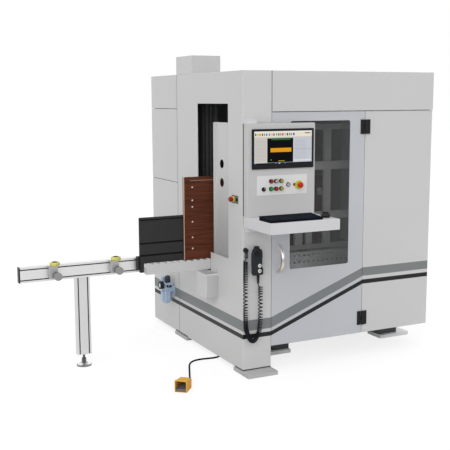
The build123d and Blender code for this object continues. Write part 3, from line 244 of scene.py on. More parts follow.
def powder_coat(name, colour, swing=0.03, marks=None):
    """Sheet steel with a satin coat whose tone swings a little, and with its marks."""
    material, place, x, y, z = new_finish(name)
    cloud = noise(place, cloud_scale, 3.0)
    shade = mix(cloud, tone(colour, 1.0 - swing), tone(colour, 1.0 + swing))
    if marks:
        shade = marks(x, y, z, shade)
    set_finish(material, shade, cloud * 0.14 + 0.36, bump(noise(place, peel_scale), 0.12, peel_depth))


powder_coat("tray_paint", (0.635, 0.635, 0.65))
powder_coat("bar_paint", (0.56, 0.565, 0.57))

# %% [markdown]
# A grey and a black line run round the cabinet, level on the left and right, and climb across the door.
# Separate strips would need cutting at each seam, so they are painted by position: the height of each edge is
# a straight line in X between the door's two sides. The seam of the side panels and the slits and flush
# locks of the back are marks of the same kind, and so is painted shade: a dark band at the foot of the sheets
# over the feet stands for the shadow between sheet and plate, the tower's front on the roof is painted darker,
# and the inner faces of the sheets are painted dark for the shade inside the enclosed cabinet.

# %% Helpers for marks
def between(value, low, high):
    """One inside two limits, and nought outside."""
    return (value > low) * (value < high)


def reach(run, rise):
    """The distance from a middle, for round marks."""
    return run.sum("POWER", run * run + rise * rise, 0.5)


def ramp(value, start, end, first=0.0, last=1.0):
    """A straight climb from a first level to a last one, level before its start and after its end."""
    return value.node("ShaderNodeMapRange", {}, {0: value, 1: start, 2: end, 3: first, 4: last})[0]


def grey(level, blue=0.0):
    """An opaque grey, with a touch of blue if asked."""
    return (level, level * (1.0 + blue / 2), level * (1.0 + blue), 1.0)


print("marks can be painted by place")

# %% Cabinet paint
door_sides = (0.207, 0.927)
grey_stripe = (0.290, 0.568, 0.3605, 0.6275)
black_stripe = (0.238, 0.513, 0.2675, 0.543)
stripe_back = 1.549
stripe_grey = (0.205, 0.220, 0.220, 1.0)
stripe_black = grey(0.014)
# painted shade for the enclosed inside of the cabinet
inner_painted_shade = grey(0.10)
inner_x = (0.0025, 1.4875)
inner_y = (0.0265, 1.5465)
inner_top = 1.949
left_face = 0.001
seam_y = (1.0415, 1.0505)
roof_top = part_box("enclosure_panels")[1].z + 0.001
tower_y = (0.05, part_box("tower_cover")[0].y + 0.001)
# top of the painted shadow band at the foot of the sheets
foot_shadow_top = 0.033
rear_foot_y = (0.891, 1.111)
corner_foot = (0.207, 0.118)
back_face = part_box("enclosure_panels")[1].y - 0.0005
back_middle = 0.745
vent_x = (0.90, 1.28)
vent_z = (1.485, 1.755)
vent_pitch = 0.030
vent_slit = 0.009
lock_x = 0.045
lock_gap = 0.655
lock_z = 0.30
lock_rise = 0.79
lock_radius = 0.011
lock_slot = 0.0015


def stripe_mask(x, y, z, edges):
    """Where a stripe lies, from the heights of its lower edge and its upper edge on the left and the right."""
    low = ramp(x, *door_sides, *edges[:2])
    high = ramp(x, *door_sides, *edges[2:])
    return between(z, low, high) * (y < stripe_back)


def back_marks(x, y, z, shade):
    """The air slits of the back and its flush quarter-turn locks, each a disc with a slot."""
    slits = between(x, *vent_x) * between(z, *vent_z) * ((z % vent_pitch) < vent_slit)
    across = (abs(x - back_middle) - lock_x + lock_gap / 2) % lock_gap - lock_gap / 2
    rise = (z - lock_z + lock_rise / 2) % lock_rise - lock_rise / 2
    lock = reach(across, rise) < lock_radius
    shade = mix((y > back_face) * lock, shade, grey(0.30))
    dark = slits + lock * (abs(across) < lock_slot)
    return mix((y > back_face) * dark, shade, grey(0.03))


def cabinet_marks(x, y, z, shade):
    """Stripes, seam, back marks, and painted shade on the tower's front, over the feet and inside."""
    shade = mix(stripe_mask(x, y, z, grey_stripe), shade, stripe_grey)
    shade = mix(stripe_mask(x, y, z, black_stripe), shade, stripe_black)
    shade = mix(between(y, *seam_y) * (x < left_face), shade, grey(0.18))
    # painted shade: the tower's front on the roof is painted darker, for the shade it lies in
    shade = mix((z > roof_top) * between(y, *tower_y), shade, grey(0.55))
    # painted shadow: a dark band at the foot of the sheets over the feet, for the shadow between sheet and
    # plate
    gap = between(y, *rear_foot_y) * (x < left_face) + (x < corner_foot[0]) * (y < corner_foot[1])
    shade = mix(gap * (z < foot_shadow_top), shade, grey(0.05))
    shade = back_marks(x, y, z, shade)
    # painted shade: the inner faces of the sheets are painted dark, for the shade inside the enclosed cabinet
    inner = between(x, *inner_x) * between(y, *inner_y) * (z < inner_top)
    return mix(inner, shade, inner_painted_shade)


powder_coat("cabinet_paint", (0.60, 0.60, 0.60), marks=cabinet_marks)
powder_coat("door_paint", (0.525, 0.540, 0.570), marks=cabinet_marks)

# %% [markdown]
# The sunk cover beside the slot lies in shade near the sill and along the wall's edge, and that shade is
# painted into its coat, darker towards the bottom and along that edge: two ramps in Z and Y, multiplied
# together.
# The console is painted a shade darker than its button plate. Both are one CAD piece, so the plate is told
# apart by its place: a box on the front of the housing.

# %% Cover and console paint
cover_z = (0.735, 1.25)
cover_y = (0.2075, 0.2675)
plate_x = (0.0658, 0.4302)
plate_z = (1.1738, 1.2977)
plate_back = -0.0645


def cover_marks(x, y, z, shade):
    # painted shade: darker towards the sill and along the wall's edge
    painted_recess_shading = ramp(z, *cover_z, 0.62, 1.0) * ramp(y, *cover_y, 0.78, 1.0)
    return mix(painted_recess_shading, grey(0.0), shade)


def console_marks(x, y, z, shade):
    plate = between(x, *plate_x) * between(z, *plate_z) * (y < plate_back)
    return mix(plate, shade, grey(0.72))


powder_coat("cover_paint", (0.585, 0.585, 0.585), 0.0256, cover_marks)
powder_coat("console_paint", (0.54, 0.54, 0.54), 0.0278, console_marks)

# %% [markdown]
# ## Dark paint and floor plates
# The welded frame is painted dark grey. Only its bare steel foot plates are light, and they are the lowest
# 25 mm of it, so a test on the height is enough to tell them apart. Their steel carries painted light: the
# plates under the machine are painted much lighter than the corner plate, against the shade under the cabinet.

# %% Frame paint
foot_plate_top = 0.0255
inner_feet = 0.22

material, place, x, y, z = new_finish("frame_paint")
cloud = noise(place, 6.0, 4.0)
shade = mix(cloud, grey(0.060, 0.15), grey(0.076, 0.15))
# painted light: the plates under the machine are painted much lighter than the corner plate, against their
# shade
steel = mix(x > inner_feet, grey(0.47, 0.01), grey(0.92, 0.01))
shade = mix(z < foot_plate_top, shade, steel)
set_finish(material, shade, cloud * 0.2 + 0.4, bump(noise(place, 300.0), 0.15, 0.0004))

# %% [markdown]
# ## Metals
# The rail, its leg and the stops are extruded aluminium: metal with very fine lines along its length, from a
# noise that is stretched many times along one axis. What lies inside a profile's outer faces can only be its
# slots, so a box test finds them and paints them dark as painted shade. The guides are ground steel, and the
# fence is black anodised, with painted shade in its slots too.

# %% Metal finishes
along_x = (0.02, 1.0, 1.0)
along_z = (1.0, 1.0, 0.02)
line_scale = 260.0
line_depth = 0.00012
profile_skin = 0.0007
bare = {"gloss": 0.5, "Metallic": 1.0}


def metal(name, colour, roughness, lines=even, scale=line_scale):
    """Bare metal whose fine lines run along the axis with the small number."""
    material, place, x, y, z = new_finish(name)
    grain = noise(place, scale, stretch=lines)
    shade = mix(grain, tone(colour, 0.94), tone(colour, 1.05))
    set_finish(material, shade, grain * 0.12 + (roughness - 0.06), bump(grain, 0.25, line_depth), **bare)


def profile_metal(name, node, colour, lines, cap):
    """An extruded profile with painted shade in its slots, and a black plastic cap of some length on its left
    end.
    """
    material, place, x, y, z = new_finish(name)
    low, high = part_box(node)
    grain = noise(place, line_scale, stretch=lines)
    slot = between(y, low.y + profile_skin, high.y - profile_skin)
    slot = slot * between(z, low.z + profile_skin, high.z - profile_skin)
    slot = slot * between(x, low.x + profile_skin, high.x - profile_skin)
    shade = mix(grain, grey(0.94 * colour), grey(1.05 * colour))
    # painted shade: the slots inside the profile are painted dark
    shade = mix(slot, shade, grey(0.12))
    shade = mix(x < low.x + cap, shade, grey(0.012))
    set_finish(material, shade, grain * 0.12 + 0.36, bump(grain, 0.25, line_depth), **bare)


metal("block_aluminium", (0.40, 0.405, 0.415), 0.46)
metal("knob_steel", (0.30, 0.29, 0.29), 0.30, even, 40.0)
metal("ground_steel", (0.45, 0.45, 0.46), 0.34, along_z)
profile_metal("rail_aluminium", "side_rail", 0.73, along_x, 0.0075)
profile_metal("leg_aluminium", "rail_leg", 0.68, along_z, 0.0)

# %% Fence
groove_y = (0.5496, 0.5664)
groove_z = 0.63

material, place, x, y, z = new_finish("black_anodised")
speckle = noise(place, 260.0, 3.0)
shade = mix(speckle, grey(0.012), grey(0.056))
# painted shade: the slots inside the fence's profile are painted darker
groove = between(y, *groove_y) * (z > groove_z)
shade = mix(groove, shade, grey(0.006))
set_finish(material, shade, speckle * 0.2 + 0.45, bump(speckle, 0.3, 0.0003), 0.12)

# %% [markdown]
# The track is a light painted beam with bright steel rollers in its channel, again told apart by place. The
# stops have darker clamp knobs in front and a dark axle head above their block, and the levelling foot a dark
# nut and stem above its bright disc, on which rings of reflected light and shade are painted. The door's handle
# is a chrome bow, and the room it mirrors is painted into its tint as a reflection: bright above, dark at its
# middle and warm below, following the height.

# %% Track and stops
track_wall = 0.0045
roller_rise = 0.045
knob_back = 0.5565
stop_head = 0.7422

material, place, x, y, z = new_finish("track_paint")
low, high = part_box("roller_track")
grain = noise(place, line_scale, stretch=along_x)
shade = mix(grain, grey(0.55), grey(0.60))
roller = between(y, low.y + track_wall, high.y - track_wall) * (z > low.z + roller_rise)
shade = mix(roller, shade, grey(0.82))
set_finish(material, shade, grain * 0.2 + 0.3, bump(grain, 0.2, 0.0002), 0.3)

material, place, x, y, z = new_finish("stop_metal")
grain = noise(place, 120.0)
shade = mix(grain, grey(0.40), grey(0.45))
shade = mix(y < knob_back, shade, grey(0.30))
shade = mix(z > stop_head, shade, grey(0.03))
set_finish(material, shade, grain * 0.12 + 0.40, bump(grain, 0.2, 0.0001), **bare)

# %% Levelling foot and handle
foot_top = 0.0245
foot_reflection_rings = (0.024, 0.0455)
handle_painted_reflection = (
    (0.0, (0.80, 0.67, 0.55, 1.0)),
    (0.34, (0.66, 0.60, 0.54, 1.0)),
    (0.50, (0.38, 0.37, 0.37, 1.0)),
    (0.66, (0.86, 0.80, 0.80, 1.0)),
    (0.80, (1.0, 0.95, 0.94, 1.0)),
)

material, place, x, y, z = new_finish("foot_metal")
low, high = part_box("levelling_foot")
from_axis = reach(x - (low.x + high.x) / 2, y - (low.y + high.y) / 2)
polish = noise(place, 120.0)
# painted reflection: rings of light and shade on the bright disc of the foot
shade = mix(from_axis > foot_reflection_rings[1], grey(0.80), grey(0.22))
shade = mix(from_axis < foot_reflection_rings[0], shade, grey(0.34))
shade = mix(z > foot_top, shade, grey(0.10))
set_finish(material, shade, polish * 0.12 + 0.20, bump(polish, 0.2, 0.0001), **bare)

material, place, x, y, z = new_finish("handle_chrome")
low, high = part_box("door_handle")
rise = (z - low.z) / (high.z - low.z)
# painted reflection: the chrome's tint follows the height, bright above, dark at the middle, warm below
tint = rise.node("ShaderNodeValToRGB", {"stops": handle_painted_reflection}, {0: rise})[0]
set_finish(material, tint, noise(place, 40.0) * 0.10 + 0.24, **bare)

# %% [markdown]
# ## Plastics and rubber
# Moulded plastic has a fine etched grain. One function makes them all, with the colour, the roughness, the
# gloss, the size of the grain and its strength as its choices. Rubber is the same with a duller surface, and
# coloured caps have a smooth one.

# %% Plastic finishes
smooth = (0.2, 200, 0.04)
plastics = (
    ("black_plastic", (0.012, 0.012, 0.014), 0.46, 0.12),
    ("charcoal_plastic", (0.024, 0.027, 0.032), 0.5, 0.1),
    ("hinge_black", (0.020, 0.020, 0.021), 0.5, 0.08),
    ("navy_plastic", (0.004, 0.006, 0.010), 0.5, 0.03),
    ("key_plastic", (0.010, 0.014, 0.021), 0.5, 0.04),
    ("gloss_black", (0.008, 0.008, 0.009), 0.2, 0.2, 60, 0.02),
    ("axis_paint", (0.085, 0.085, 0.090), 0.6, 0.05, 200, 0.05),
    ("knob_plastic", (0.055, 0.060, 0.066), 0.5, 0.1),
    ("plate_grey", (0.15, 0.15, 0.15), 0.45),
    ("core_wood", (0.86, 0.74, 0.60), 0.7, 0.2, 300, 0.2),
    ("white_plastic", (0.80, 0.80, 0.79), 0.35),
    ("red_plastic", (0.50, 0.016, 0.012), 0.3, *smooth),
    ("deep_red_plastic", (0.26, 0.014, 0.012), 0.3, *smooth),
    ("yellow_plastic", (0.68, 0.55, 0.02), 0.3, *smooth),
    ("lime_plastic", (0.52, 0.56, 0.015), 0.3, *smooth),
    ("amber_plastic", (0.80, 0.42, 0.03), 0.3, *smooth),
    ("green_plastic", (0.015, 0.32, 0.03), 0.3, *smooth),
    ("bright_green", (0.03, 0.55, 0.08), 0.3, *smooth),
    ("cap_red", (0.36, 0.012, 0.010), 0.35, *smooth),
    ("cap_white", (0.48, 0.41, 0.39), 0.35, *smooth),
    ("cap_yellow", (0.38, 0.30, 0.03), 0.35, *smooth),
    ("orange_plastic", (0.80, 0.43, 0.065), 0.45, 0.08),
    ("roller_rubber", (0.63, 0.60, 0.15), 0.45, 0.15, 220, 0.06),
    ("curl_rubber", (0.014, 0.016, 0.021), 0.6, 0.04, 700, 0.10),
    ("cord_rubber", (0.006, 0.007, 0.008), 0.6, 0.03, 700, 0.10),
    ("air_paint", (0.42, 0.53, 0.68), 0.34, 0.2, 90, 0.05),
    ("treadle_rubber", (0.15, 0.15, 0.16), 0.5),
)


def moulded(name, colour, roughness, gloss=0.2, grain=500, strength=0.12):
    """Moulded plastic or rubber with a fine grain."""
    material, place, x, y, z = new_finish(name)
    texture = noise(place, grain)
    shade = mix(noise(place, 14), tone(colour, 0.93), tone(colour, 1.07))
    set_finish(material, shade, texture * 0.12 + (roughness - 0.06), bump(texture, strength, 0.0003), gloss)


for choices in plastics:
    moulded(*choices)

# %% [markdown]
# ## The cords
# Two cords show: a curly cord from the handset to the column, and the pedal's cable on the floor. Each line
# is a NURBS curve through a short route of control points. The order is set after the points are added,
# because a new spline falls back to straight runs. The pedal's cable is that curve with a round bevel.

# %% Pedal cable
cable_width = 0.012
cable_points = (
    (-0.4009, -0.0469, 0.026),
    (-0.3781, -0.0203, 0.026),
    (-0.358, 0.036, 0.0095),
    (-0.331, 0.108, 0.0065),
    (-0.300, 0.180, 0.0065),
    (-0.262, 0.270, 0.0065),
    (-0.236, 0.330, 0.0065),
    (-0.205, 0.378, 0.0065),
    (-0.165, 0.407, 0.0065),
    (-0.116, 0.414, 0.0065),
    (-0.064, 0.407, 0.0065),
    (0.010, 0.395, 0.0075),
    (0.044, 0.401, 0.027),
    (0.064, 0.399, 0.061),
    (0.064, 0.399, 0.100),
)


def smooth_line(name, points, width, steps=6, sides=3):
    """A smooth open curve with these control points and a round section."""
    curve = bpy.data.curves.new(name, "CURVE")
    curve.dimensions = "3D"
    curve.resolution_u = steps
    curve.bevel_depth = width / 2
    curve.bevel_resolution = sides
    spline = curve.splines.new("NURBS")
    spline.points.add(len(points) - 1)
    for control, point in zip(spline.points, points):
        control.co = (*point, 1.0)
    spline.order_u = 3
    spline.use_endpoint_u = True
    line = bpy.data.objects.new(name, curve)
    scene.collection.objects.link(line)
    return line


def dress(piece, finish, body="machine", replaced=None):
    """Give a piece its finish, let it ride on its body and stand for a CAD piece."""
    piece.data.materials.clear()
    piece.data.materials.append(finishes[finish])
    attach(piece, body)
    if replaced:
        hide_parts(replaced)


pedal_cord = smooth_line("pedal_cord", cable_points, cable_width)
dress(pedal_cord, "cord_rubber", replaced="pedal_cable")
print("pedal cable:", len(cable_points), "control points")

# %% [markdown]
# The curly cord hangs in a long U. Its middle line is a curve without a bevel, and the points that Blender
# gives for that curve carry the helix: at each step the helix goes a little further round the middle line.
# Under the handset and half way up the other strand the curls are pulled open by the cord's own weight, and
# in the bend and near the gland they lie close, so the turns are shared out in a wave along the line.

# %% Curly cord
curl_wire = 0.0065
curl_radius = 0.0125
curl_turns = 73.75
curl_steps = 18
curl_spread = 0.54
curl_wave = 2 * math.pi / 0.60
curl_open = 0.14
curl_start = ((0.1015, -0.017, 0.600), (0.1015, -0.017, 0.592))
curl_finish = ((0.0175, -0.0135, 0.764), (0.0175, -0.0135, 0.772))
strand_y = -0.026
strand_xz = (
    (0.114, 0.583),
    (0.114, 0.440),
    (0.113, 0.330),
    (0.102, 0.276),
    (0.074, 0.2265),
    (0.045, 0.2265),
    (0.0185, 0.276),
    (0.0060, 0.330),
    (0.0050, 0.500),
    (0.0060, 0.755),
)
strand_points = [(strand_x, strand_y, strand_z) for strand_x, strand_z in strand_xz]
middle_line = smooth_line("middle_line", strand_points, 0.0, 24)
line_mesh = bpy.data.meshes.new_from_object(middle_line)
line_points = [vertex.co.copy() for vertex in line_mesh.vertices]
bpy.data.objects.remove(middle_line)
bpy.data.meshes.remove(line_mesh)
run_lengths = [0.0]
for first, second in zip(line_points, line_points[1:]):
    run_lengths.append(run_lengths[-1] + (second - first).length)


def along_strand(share):
    """Place and direction at a share of the middle line's length."""
    goal = share * run_lengths[-1]
    index = max(i for i, length in enumerate(run_lengths[:-1]) if length <= goal)
    first, second = line_points[index], line_points[index + 1]
    part = (goal - run_lengths[index]) / (second - first).length
    return first.lerp(second, part), (second - first).normalized()


def wound(share):
    """The turns wound up to a share of the line, before they are scaled to one in all."""
    swing = math.sin(curl_wave * (share - curl_open)) + math.sin(curl_wave * curl_open)
    return share - curl_spread / curl_wave * swing


def curl_point(share):
    """A point of the helix, with its open and its close turns."""
    middle, direction = along_strand(share)
    side = Vector((0.0, 1.0, 0.0))
    across = direction.cross(side)
    angle = -math.pi / 2 - 2 * math.pi * curl_turns * wound(share) / wound(1.0)
    return middle + curl_radius * (side * math.cos(angle) + across * math.sin(angle))


curl_count = round(curl_turns * curl_steps)
curls = [curl_point(step / curl_count) for step in range(curl_count + 1)]
curl_points = [*curl_start, *curls, *curl_finish]
curly_cord = smooth_line("curly_cord", curl_points, curl_wire, 2, 2)
dress(curly_cord, "curl_rubber", replaced="pendant_cord")
print("curly cord:", curl_turns, "turns,", len(curl_points), "control points")

# %% [markdown]
# ## Window and board
# The window is a sheet of dark tinted acrylic. Full glass refracts and is slow to light the room behind it, so
# a dark gloss sheet that is partly see-through does the same work. The board has a dark red brown foil with
# its grain along the length, a pale edge band and pale particle board in its holes.

# %% Window tint
material, place, x, y, z = new_finish("tinted_window")
low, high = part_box("door_window")
# painted sheen: the tint is painted lighter from the left of the window to its right
shade = mix(ramp(x, low.x, high.x), grey(0.044, 0.04), grey(0.078, 0.04))
set_finish(material, shade, noise(place, 3.0) * 0.04 + 0.04, gloss=0.25, Alpha=0.42)

# %% Board foil
board_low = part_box("sample_board")[0]
hole_x = -0.116
hole_heights = [board_low.z + rise for rise in (0.077, 0.154, 0.262, 0.364, 0.409, 0.498)]
hole_radius = 0.0060
edge_band = (0.0003, 0.013)
groove_low = board_low.z + 0.541
groove_width = 0.0045
groove_start = -0.133

material, place, x, y, z = new_finish("board_foil")
grain = noise(place, 90.0, 6.0, (0.05, 1.0, 1.0))
figure = noise(place, 9.0, 3.0, (0.12, 1.0, 1.0))
foil = mix(figure, (0.078, 0.022, 0.011, 1.0), (0.150, 0.048, 0.026, 1.0))
foil = mix(ramp(grain, 0.42, 0.66) * 0.6, foil, (0.036, 0.010, 0.005, 1.0))
pale = (x < board_low.x + edge_band[0]) * (y < board_low.y + edge_band[1])
for height in hole_heights:
    pale = pale + (reach(x - hole_x, z - height) < hole_radius)
line = between(z, groove_low, groove_low + groove_width) * (x > groove_start)
shade = mix(line, foil, (0.30, 0.20, 0.145, 1.0))
shade = mix(pale, shade, (0.70, 0.53, 0.40, 1.0))
set_finish(material, shade, grain * 0.15 + 0.42, bump(grain, 0.15, 0.0004), 0.1)

# %% [markdown]
# ## The handset's buttons and the junction box
# The handset's two buttons are white with a dark middle, which is a circle round each button's own centre. The
# junction box is pale plastic with painted shade: a darker front, more so towards the wall, and a darker top.

# %% Buttons and box
dot_radius = 0.0048
box_skin = 0.0006

material, place, x, y, z = new_finish("ring_button")
dots = []
for node in ("pendant_button_1", "pendant_button_2"):
    low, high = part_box(node)
    dots.append(reach(x - (low.x + high.x) / 2, z - (low.z + high.z) / 2) < dot_radius)
shade = mix(dots[0] + dots[1], grey(0.80), grey(0.015))
set_finish(material, shade, noise(place, 60.0) * 0.1 + 0.28, gloss=0.5)

material, place, x, y, z = new_finish("box_plastic")
low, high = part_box("junction_box")
texture = noise(place, 500.0)
# painted shade: the front is painted darker than the sides, more so towards the wall
front_painted_shade = mix(ramp(x, low.x, high.x), grey(0.53), grey(0.44))
shade = mix(y < low.y + box_skin, grey(0.60), front_painted_shade)
# painted shade: the top is painted darker
shade = mix(z > high.z - box_skin, shade, grey(0.42))
set_finish(material, shade, texture * 0.12 + 0.4, bump(texture, 0.12, 0.0003))

# %% [markdown]
# ## Dressing the CAD pieces
# The record says which slot each piece belongs to. Most slots have a finish of the same name, and a first
# table gives the finish of the others. A second one names the pieces that look different from their group.

# %% Finishes of the CAD pieces
record_slot = {part["node"]: part["material_slot"] for part in frame["record"]["subparts"]}
group_finish = {
    "dark_paint": "frame_paint",
    "tinted_glass": "tinted_window",
    "aluminium": "rail_aluminium",
    "black_aluminium": "black_anodised",
    "steel": "ground_steel",
    "board_wood": "board_foil",
}
own_finish = {
    "slot_cover": "cover_paint",
    "console_housing": "console_paint",
    "keyboard_tray": "tray_paint",
    "console_brackets": "tray_paint",
    "control_plate": "frame_paint",
    "head_column": "axis_paint",
    "head_carriage": "axis_paint",
    "drill_head": "axis_paint",
    "machine_bed": "bar_paint",
    "roller_track": "track_paint",
    "rail_leg": "leg_aluminium",
    "stop_slide_left": "stop_metal",
    "stop_slide_right": "stop_metal",
    "levelling_foot": "foot_metal",
    "door_handle": "handle_chrome",
    "key_switch": "block_aluminium",
    "frame_hinges": "hinge_black",
    "door_hinges": "hinge_black",
    "keyboard": "navy_plastic",
    "mouse": "gloss_black",
    "wall_stop_plate": "plate_grey",
    "wall_button": "bright_green",
    "junction_box": "box_plastic",
    "pendant_body": "charcoal_plastic",
    "pendant_dial": "black_plastic",
    "pendant_button_1": "ring_button",
    "pendant_button_2": "ring_button",
    "pedal_treadle": "treadle_rubber",
}
for node, slot in record_slot.items():
    finish = own_finish.get(node, group_finish.get(slot, slot))
    for material_slot in nodes[node].material_slots:
        material_slot.material = finishes[finish]
print("dressed", len(record_slot), "pieces")

# %% [markdown]
# ## Modelling by hand, in code
# The small pieces that are pressed, turned and read are modelled here as they would be by hand: add a
# primitive, go to edit mode, select faces by their normal, then extrude, inset, scale and bevel.
# Every step below repeats a few of those moves, so they get short names. Lengths here are in millimetres.

# %% Selecting and editing
mm = 0.001
to_front = Vector((0.0, -1.0, 0.0))
to_back = -to_front
to_right = Vector((1.0, 0.0, 0.0))
to_left = -to_right
up = Vector((0.0, 0.0, 1.0))


def take(piece):
    """Select this piece alone."""
    bpy.ops.object.select_all(action="DESELECT")
    piece.select_set(True)
    bpy.context.view_layer.objects.active = piece


def settle(piece):
    """Put the object's place, turn and scale into its mesh."""
    take(piece)
    bpy.ops.object.transform_apply(location=True, rotation=True, scale=True)
    return piece


def edit(piece):
    """Go to edit mode with all faces selected."""
    take(piece)
    bpy.ops.object.mode_set(mode="EDIT")
    bpy.ops.mesh.select_mode(type="FACE")
    bpy.ops.mesh.select_all(action="SELECT")


def leave():
    bpy.ops.object.mode_set(mode="OBJECT")


def pick(piece, axis, low=0.9, high=1.1):
    """Go to edit mode and select the faces that look along an axis, or whose normals lie in other limits."""
    edit(piece)
    mesh = bmesh.from_edit_mesh(piece.data)
    mesh.normal_update()
    for face in mesh.faces:
        face.select_set(low < face.normal.dot(axis) < high)
    mesh.select_flush_mode()
    bmesh.update_edit_mesh(piece.data)


print("selections are ready, one unit is", mm, "m")

# %% Boxes and names
def corners(node):
    """The lowest and highest corner of a CAD piece, in millimetres."""
    low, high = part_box(node)
    return Vector(low) / mm, Vector(high) / mm


def block(low, high):
    """A box between two corners, to be shaped further."""
    bpy.ops.object.select_all(action="DESELECT")
    low, high = Vector(low) * mm, Vector(high) * mm
    bpy.ops.mesh.primitive_cube_add(size=1.0, location=(low + high) / 2)
    piece = bpy.context.object
    piece.scale = high - low
    return settle(piece)


def push(piece, axis, border, shift):
    """Inset the face that looks along an axis, and move its middle along that axis."""
    pick(piece, axis)
    bpy.ops.mesh.inset(thickness=border * mm)
    bpy.ops.transform.translate(value=axis * shift * mm)
    leave()
    return piece


def keep(piece, name, finish, body="machine", replaced=None):
    """Name and smooth a finished piece, and dress it."""
    take(piece)
    bpy.ops.object.shade_smooth_by_angle(angle=math.radians(35))
    piece.name = name
    piece.data.name = name
    dress(piece, finish, body, replaced)
    print(name, "has", len(piece.data.polygons), "faces")


print("boxes can be made and named")

# %% [markdown]
# ## The screen
# The monitor shows a drilling program: a cream tool bar with small icons, a list on the left, a dark drawing
# of the board in the middle and a pane on the right. The sheet of the screen is a thin box whose front is
# inset and pushed back, so that the frame's lip stands proud. The picture is painted by position: each patch
# is a rectangle with limits across and down the screen, as shares of its width and height.

# %% Screen picture
monitor_low, monitor_high = corners("monitor")
screen_low = Vector((monitor_low.x + 14.5, -71.2, monitor_low.z + 30.5))
screen_high = Vector((monitor_high.x - 14.5, -70.05, monitor_high.z - 14.5))
screen_patches = [
    (0, 1, 0, 0.04, (240, 236, 226)),
    (0, 1, 0.18, 0.2, (206, 198, 184)),
    (0, 0.22, 0.2, 0.965, (206, 202, 198)),
    (0.22, 0.672, 0.2, 0.965, (170, 170, 176)),
    (0.222, 0.67, 0.22, 0.955, (2, 3, 5)),
    (0.672, 1, 0.2, 0.965, (200, 203, 212)),
    (0.68, 0.992, 0.555, 0.565, (158, 160, 170)),
    (0.68, 0.992, 0.88, 0.925, (226, 227, 230)),
    (0.277, 0.638, 0.515, 0.64, (234, 158, 22)),
    (0.28, 0.3, 0.86, 0.89, (40, 190, 60)),
    (0.41, 0.52, 0.905, 0.918, (220, 200, 40)),
    (0.875, 0.975, 0.055, 0.085, (120, 110, 98)),
    (0, 1, 0.965, 1, (26, 26, 34)),
    (0.005, 0.03, 0.97, 0.995, (60, 130, 200)),
    (0.36, 0.385, 0.97, 0.995, (70, 120, 190)),
    (0.42, 0.445, 0.97, 0.995, (210, 214, 220)),
    (0.52, 0.545, 0.97, 0.995, (70, 120, 190)),
]
icon_heights = (0.065, 0.138)
icons = (
    (0.015, 0.035, (40, 90, 60)),
    (0.05, 0.072, (220, 190, 70)),
    (0.082, 0.114, (205, 170, 60)),
    (0.13, 0.15, (60, 58, 60)),
    (0.165, 0.182, (110, 130, 165)),
    (0.2, 0.222, (40, 130, 135)),
    (0.25, 0.268, (50, 90, 170)),
    (0.29, 0.312, (226, 180, 130)),
    (0.325, 0.345, (36, 52, 110)),
    (0.37, 0.388, (140, 140, 140)),
    (0.405, 0.43, (130, 90, 60)),
    (0.445, 0.46, (120, 84, 60)),
    (0.475, 0.5, (190, 50, 45)),
    (0.52, 0.532, (140, 140, 140)),
    (0.555, 0.58, (60, 58, 60)),
    (0.6, 0.616, (70, 66, 66)),
    (0.63, 0.646, (40, 130, 135)),
    (0.665, 0.695, (50, 100, 190)),
)
screen_patches += [(left, far, *icon_heights, levels) for left, far, levels in icons]


def screen_colour(levels):
    """A shader colour from three screen levels of 0 to 255."""
    return [(level / 255) ** 2.2 for level in levels] + [1]


material, place, x, y, z = new_finish("screen_picture")
across = (x - screen_low.x * mm) / ((screen_high.x - screen_low.x) * mm)
down = (z - screen_high.z * mm) / ((screen_low.z - screen_high.z) * mm)
shade = mix(down > 0.2, screen_colour((236, 229, 214)), screen_colour((206, 202, 198)))
for left, far, top, bottom, levels in screen_patches:
    patch = between(across, left, far) * between(down, top, bottom)
    shade = mix(patch, shade, screen_colour(levels))
rows = ((down * 24) % 1 < 0.45) * between(down, 0.26, 0.90)
rows = rows * (between(across, 0.015, 0.20) + between(across, 0.70, 0.90))
shade = mix(rows * 0.16, shade, screen_colour((90, 88, 92)))
dashes = ((across * 48) % 1 < 0.6) * between(down, 0.238, 0.272) * between(across, 0.295, 0.62)
shade = mix(dashes, shade, screen_colour((52, 150, 70)))
glow = {"Emission Color": shade, "Emission Strength": 0.92}
set_finish(material, grey(0.002), noise(place, 6) * 0.06 + 0.12, gloss=0.05, **glow)
sheet = push(block(screen_low, screen_high), to_front, 1.2, -0.4)
keep(sheet, "screen_sheet", "screen_picture", "console")

# %% [markdown]
# ## Push buttons, key switch and selector
# Six buttons stand in two rows. Each has a black bezel ring screwed on the plate and a coloured cap with a
# rounded edge, which is pressed into the ring. Both are turned shapes: a circle is extruded and scaled along
# its axis. A ring is the same shape carried back inside itself, with its two end faces deleted and bridged.

# %% Turning
def middle_of(node):
    low, high = corners(node)
    return (low + high) / 2


def close_up():
    """Turn all faces outward and leave edit mode."""
    bpy.ops.mesh.select_all(action="SELECT")
    bpy.ops.mesh.normals_make_consistent(inside=False)
    leave()


def grow(shift, shares, centre):
    """Extrude the selected face by a shift, and scale it about a centre."""
    bpy.ops.mesh.extrude_region_move(TRANSFORM_OT_translate={"value": shift * mm})
    bpy.ops.transform.resize(value=shares, center_override=centre * mm)


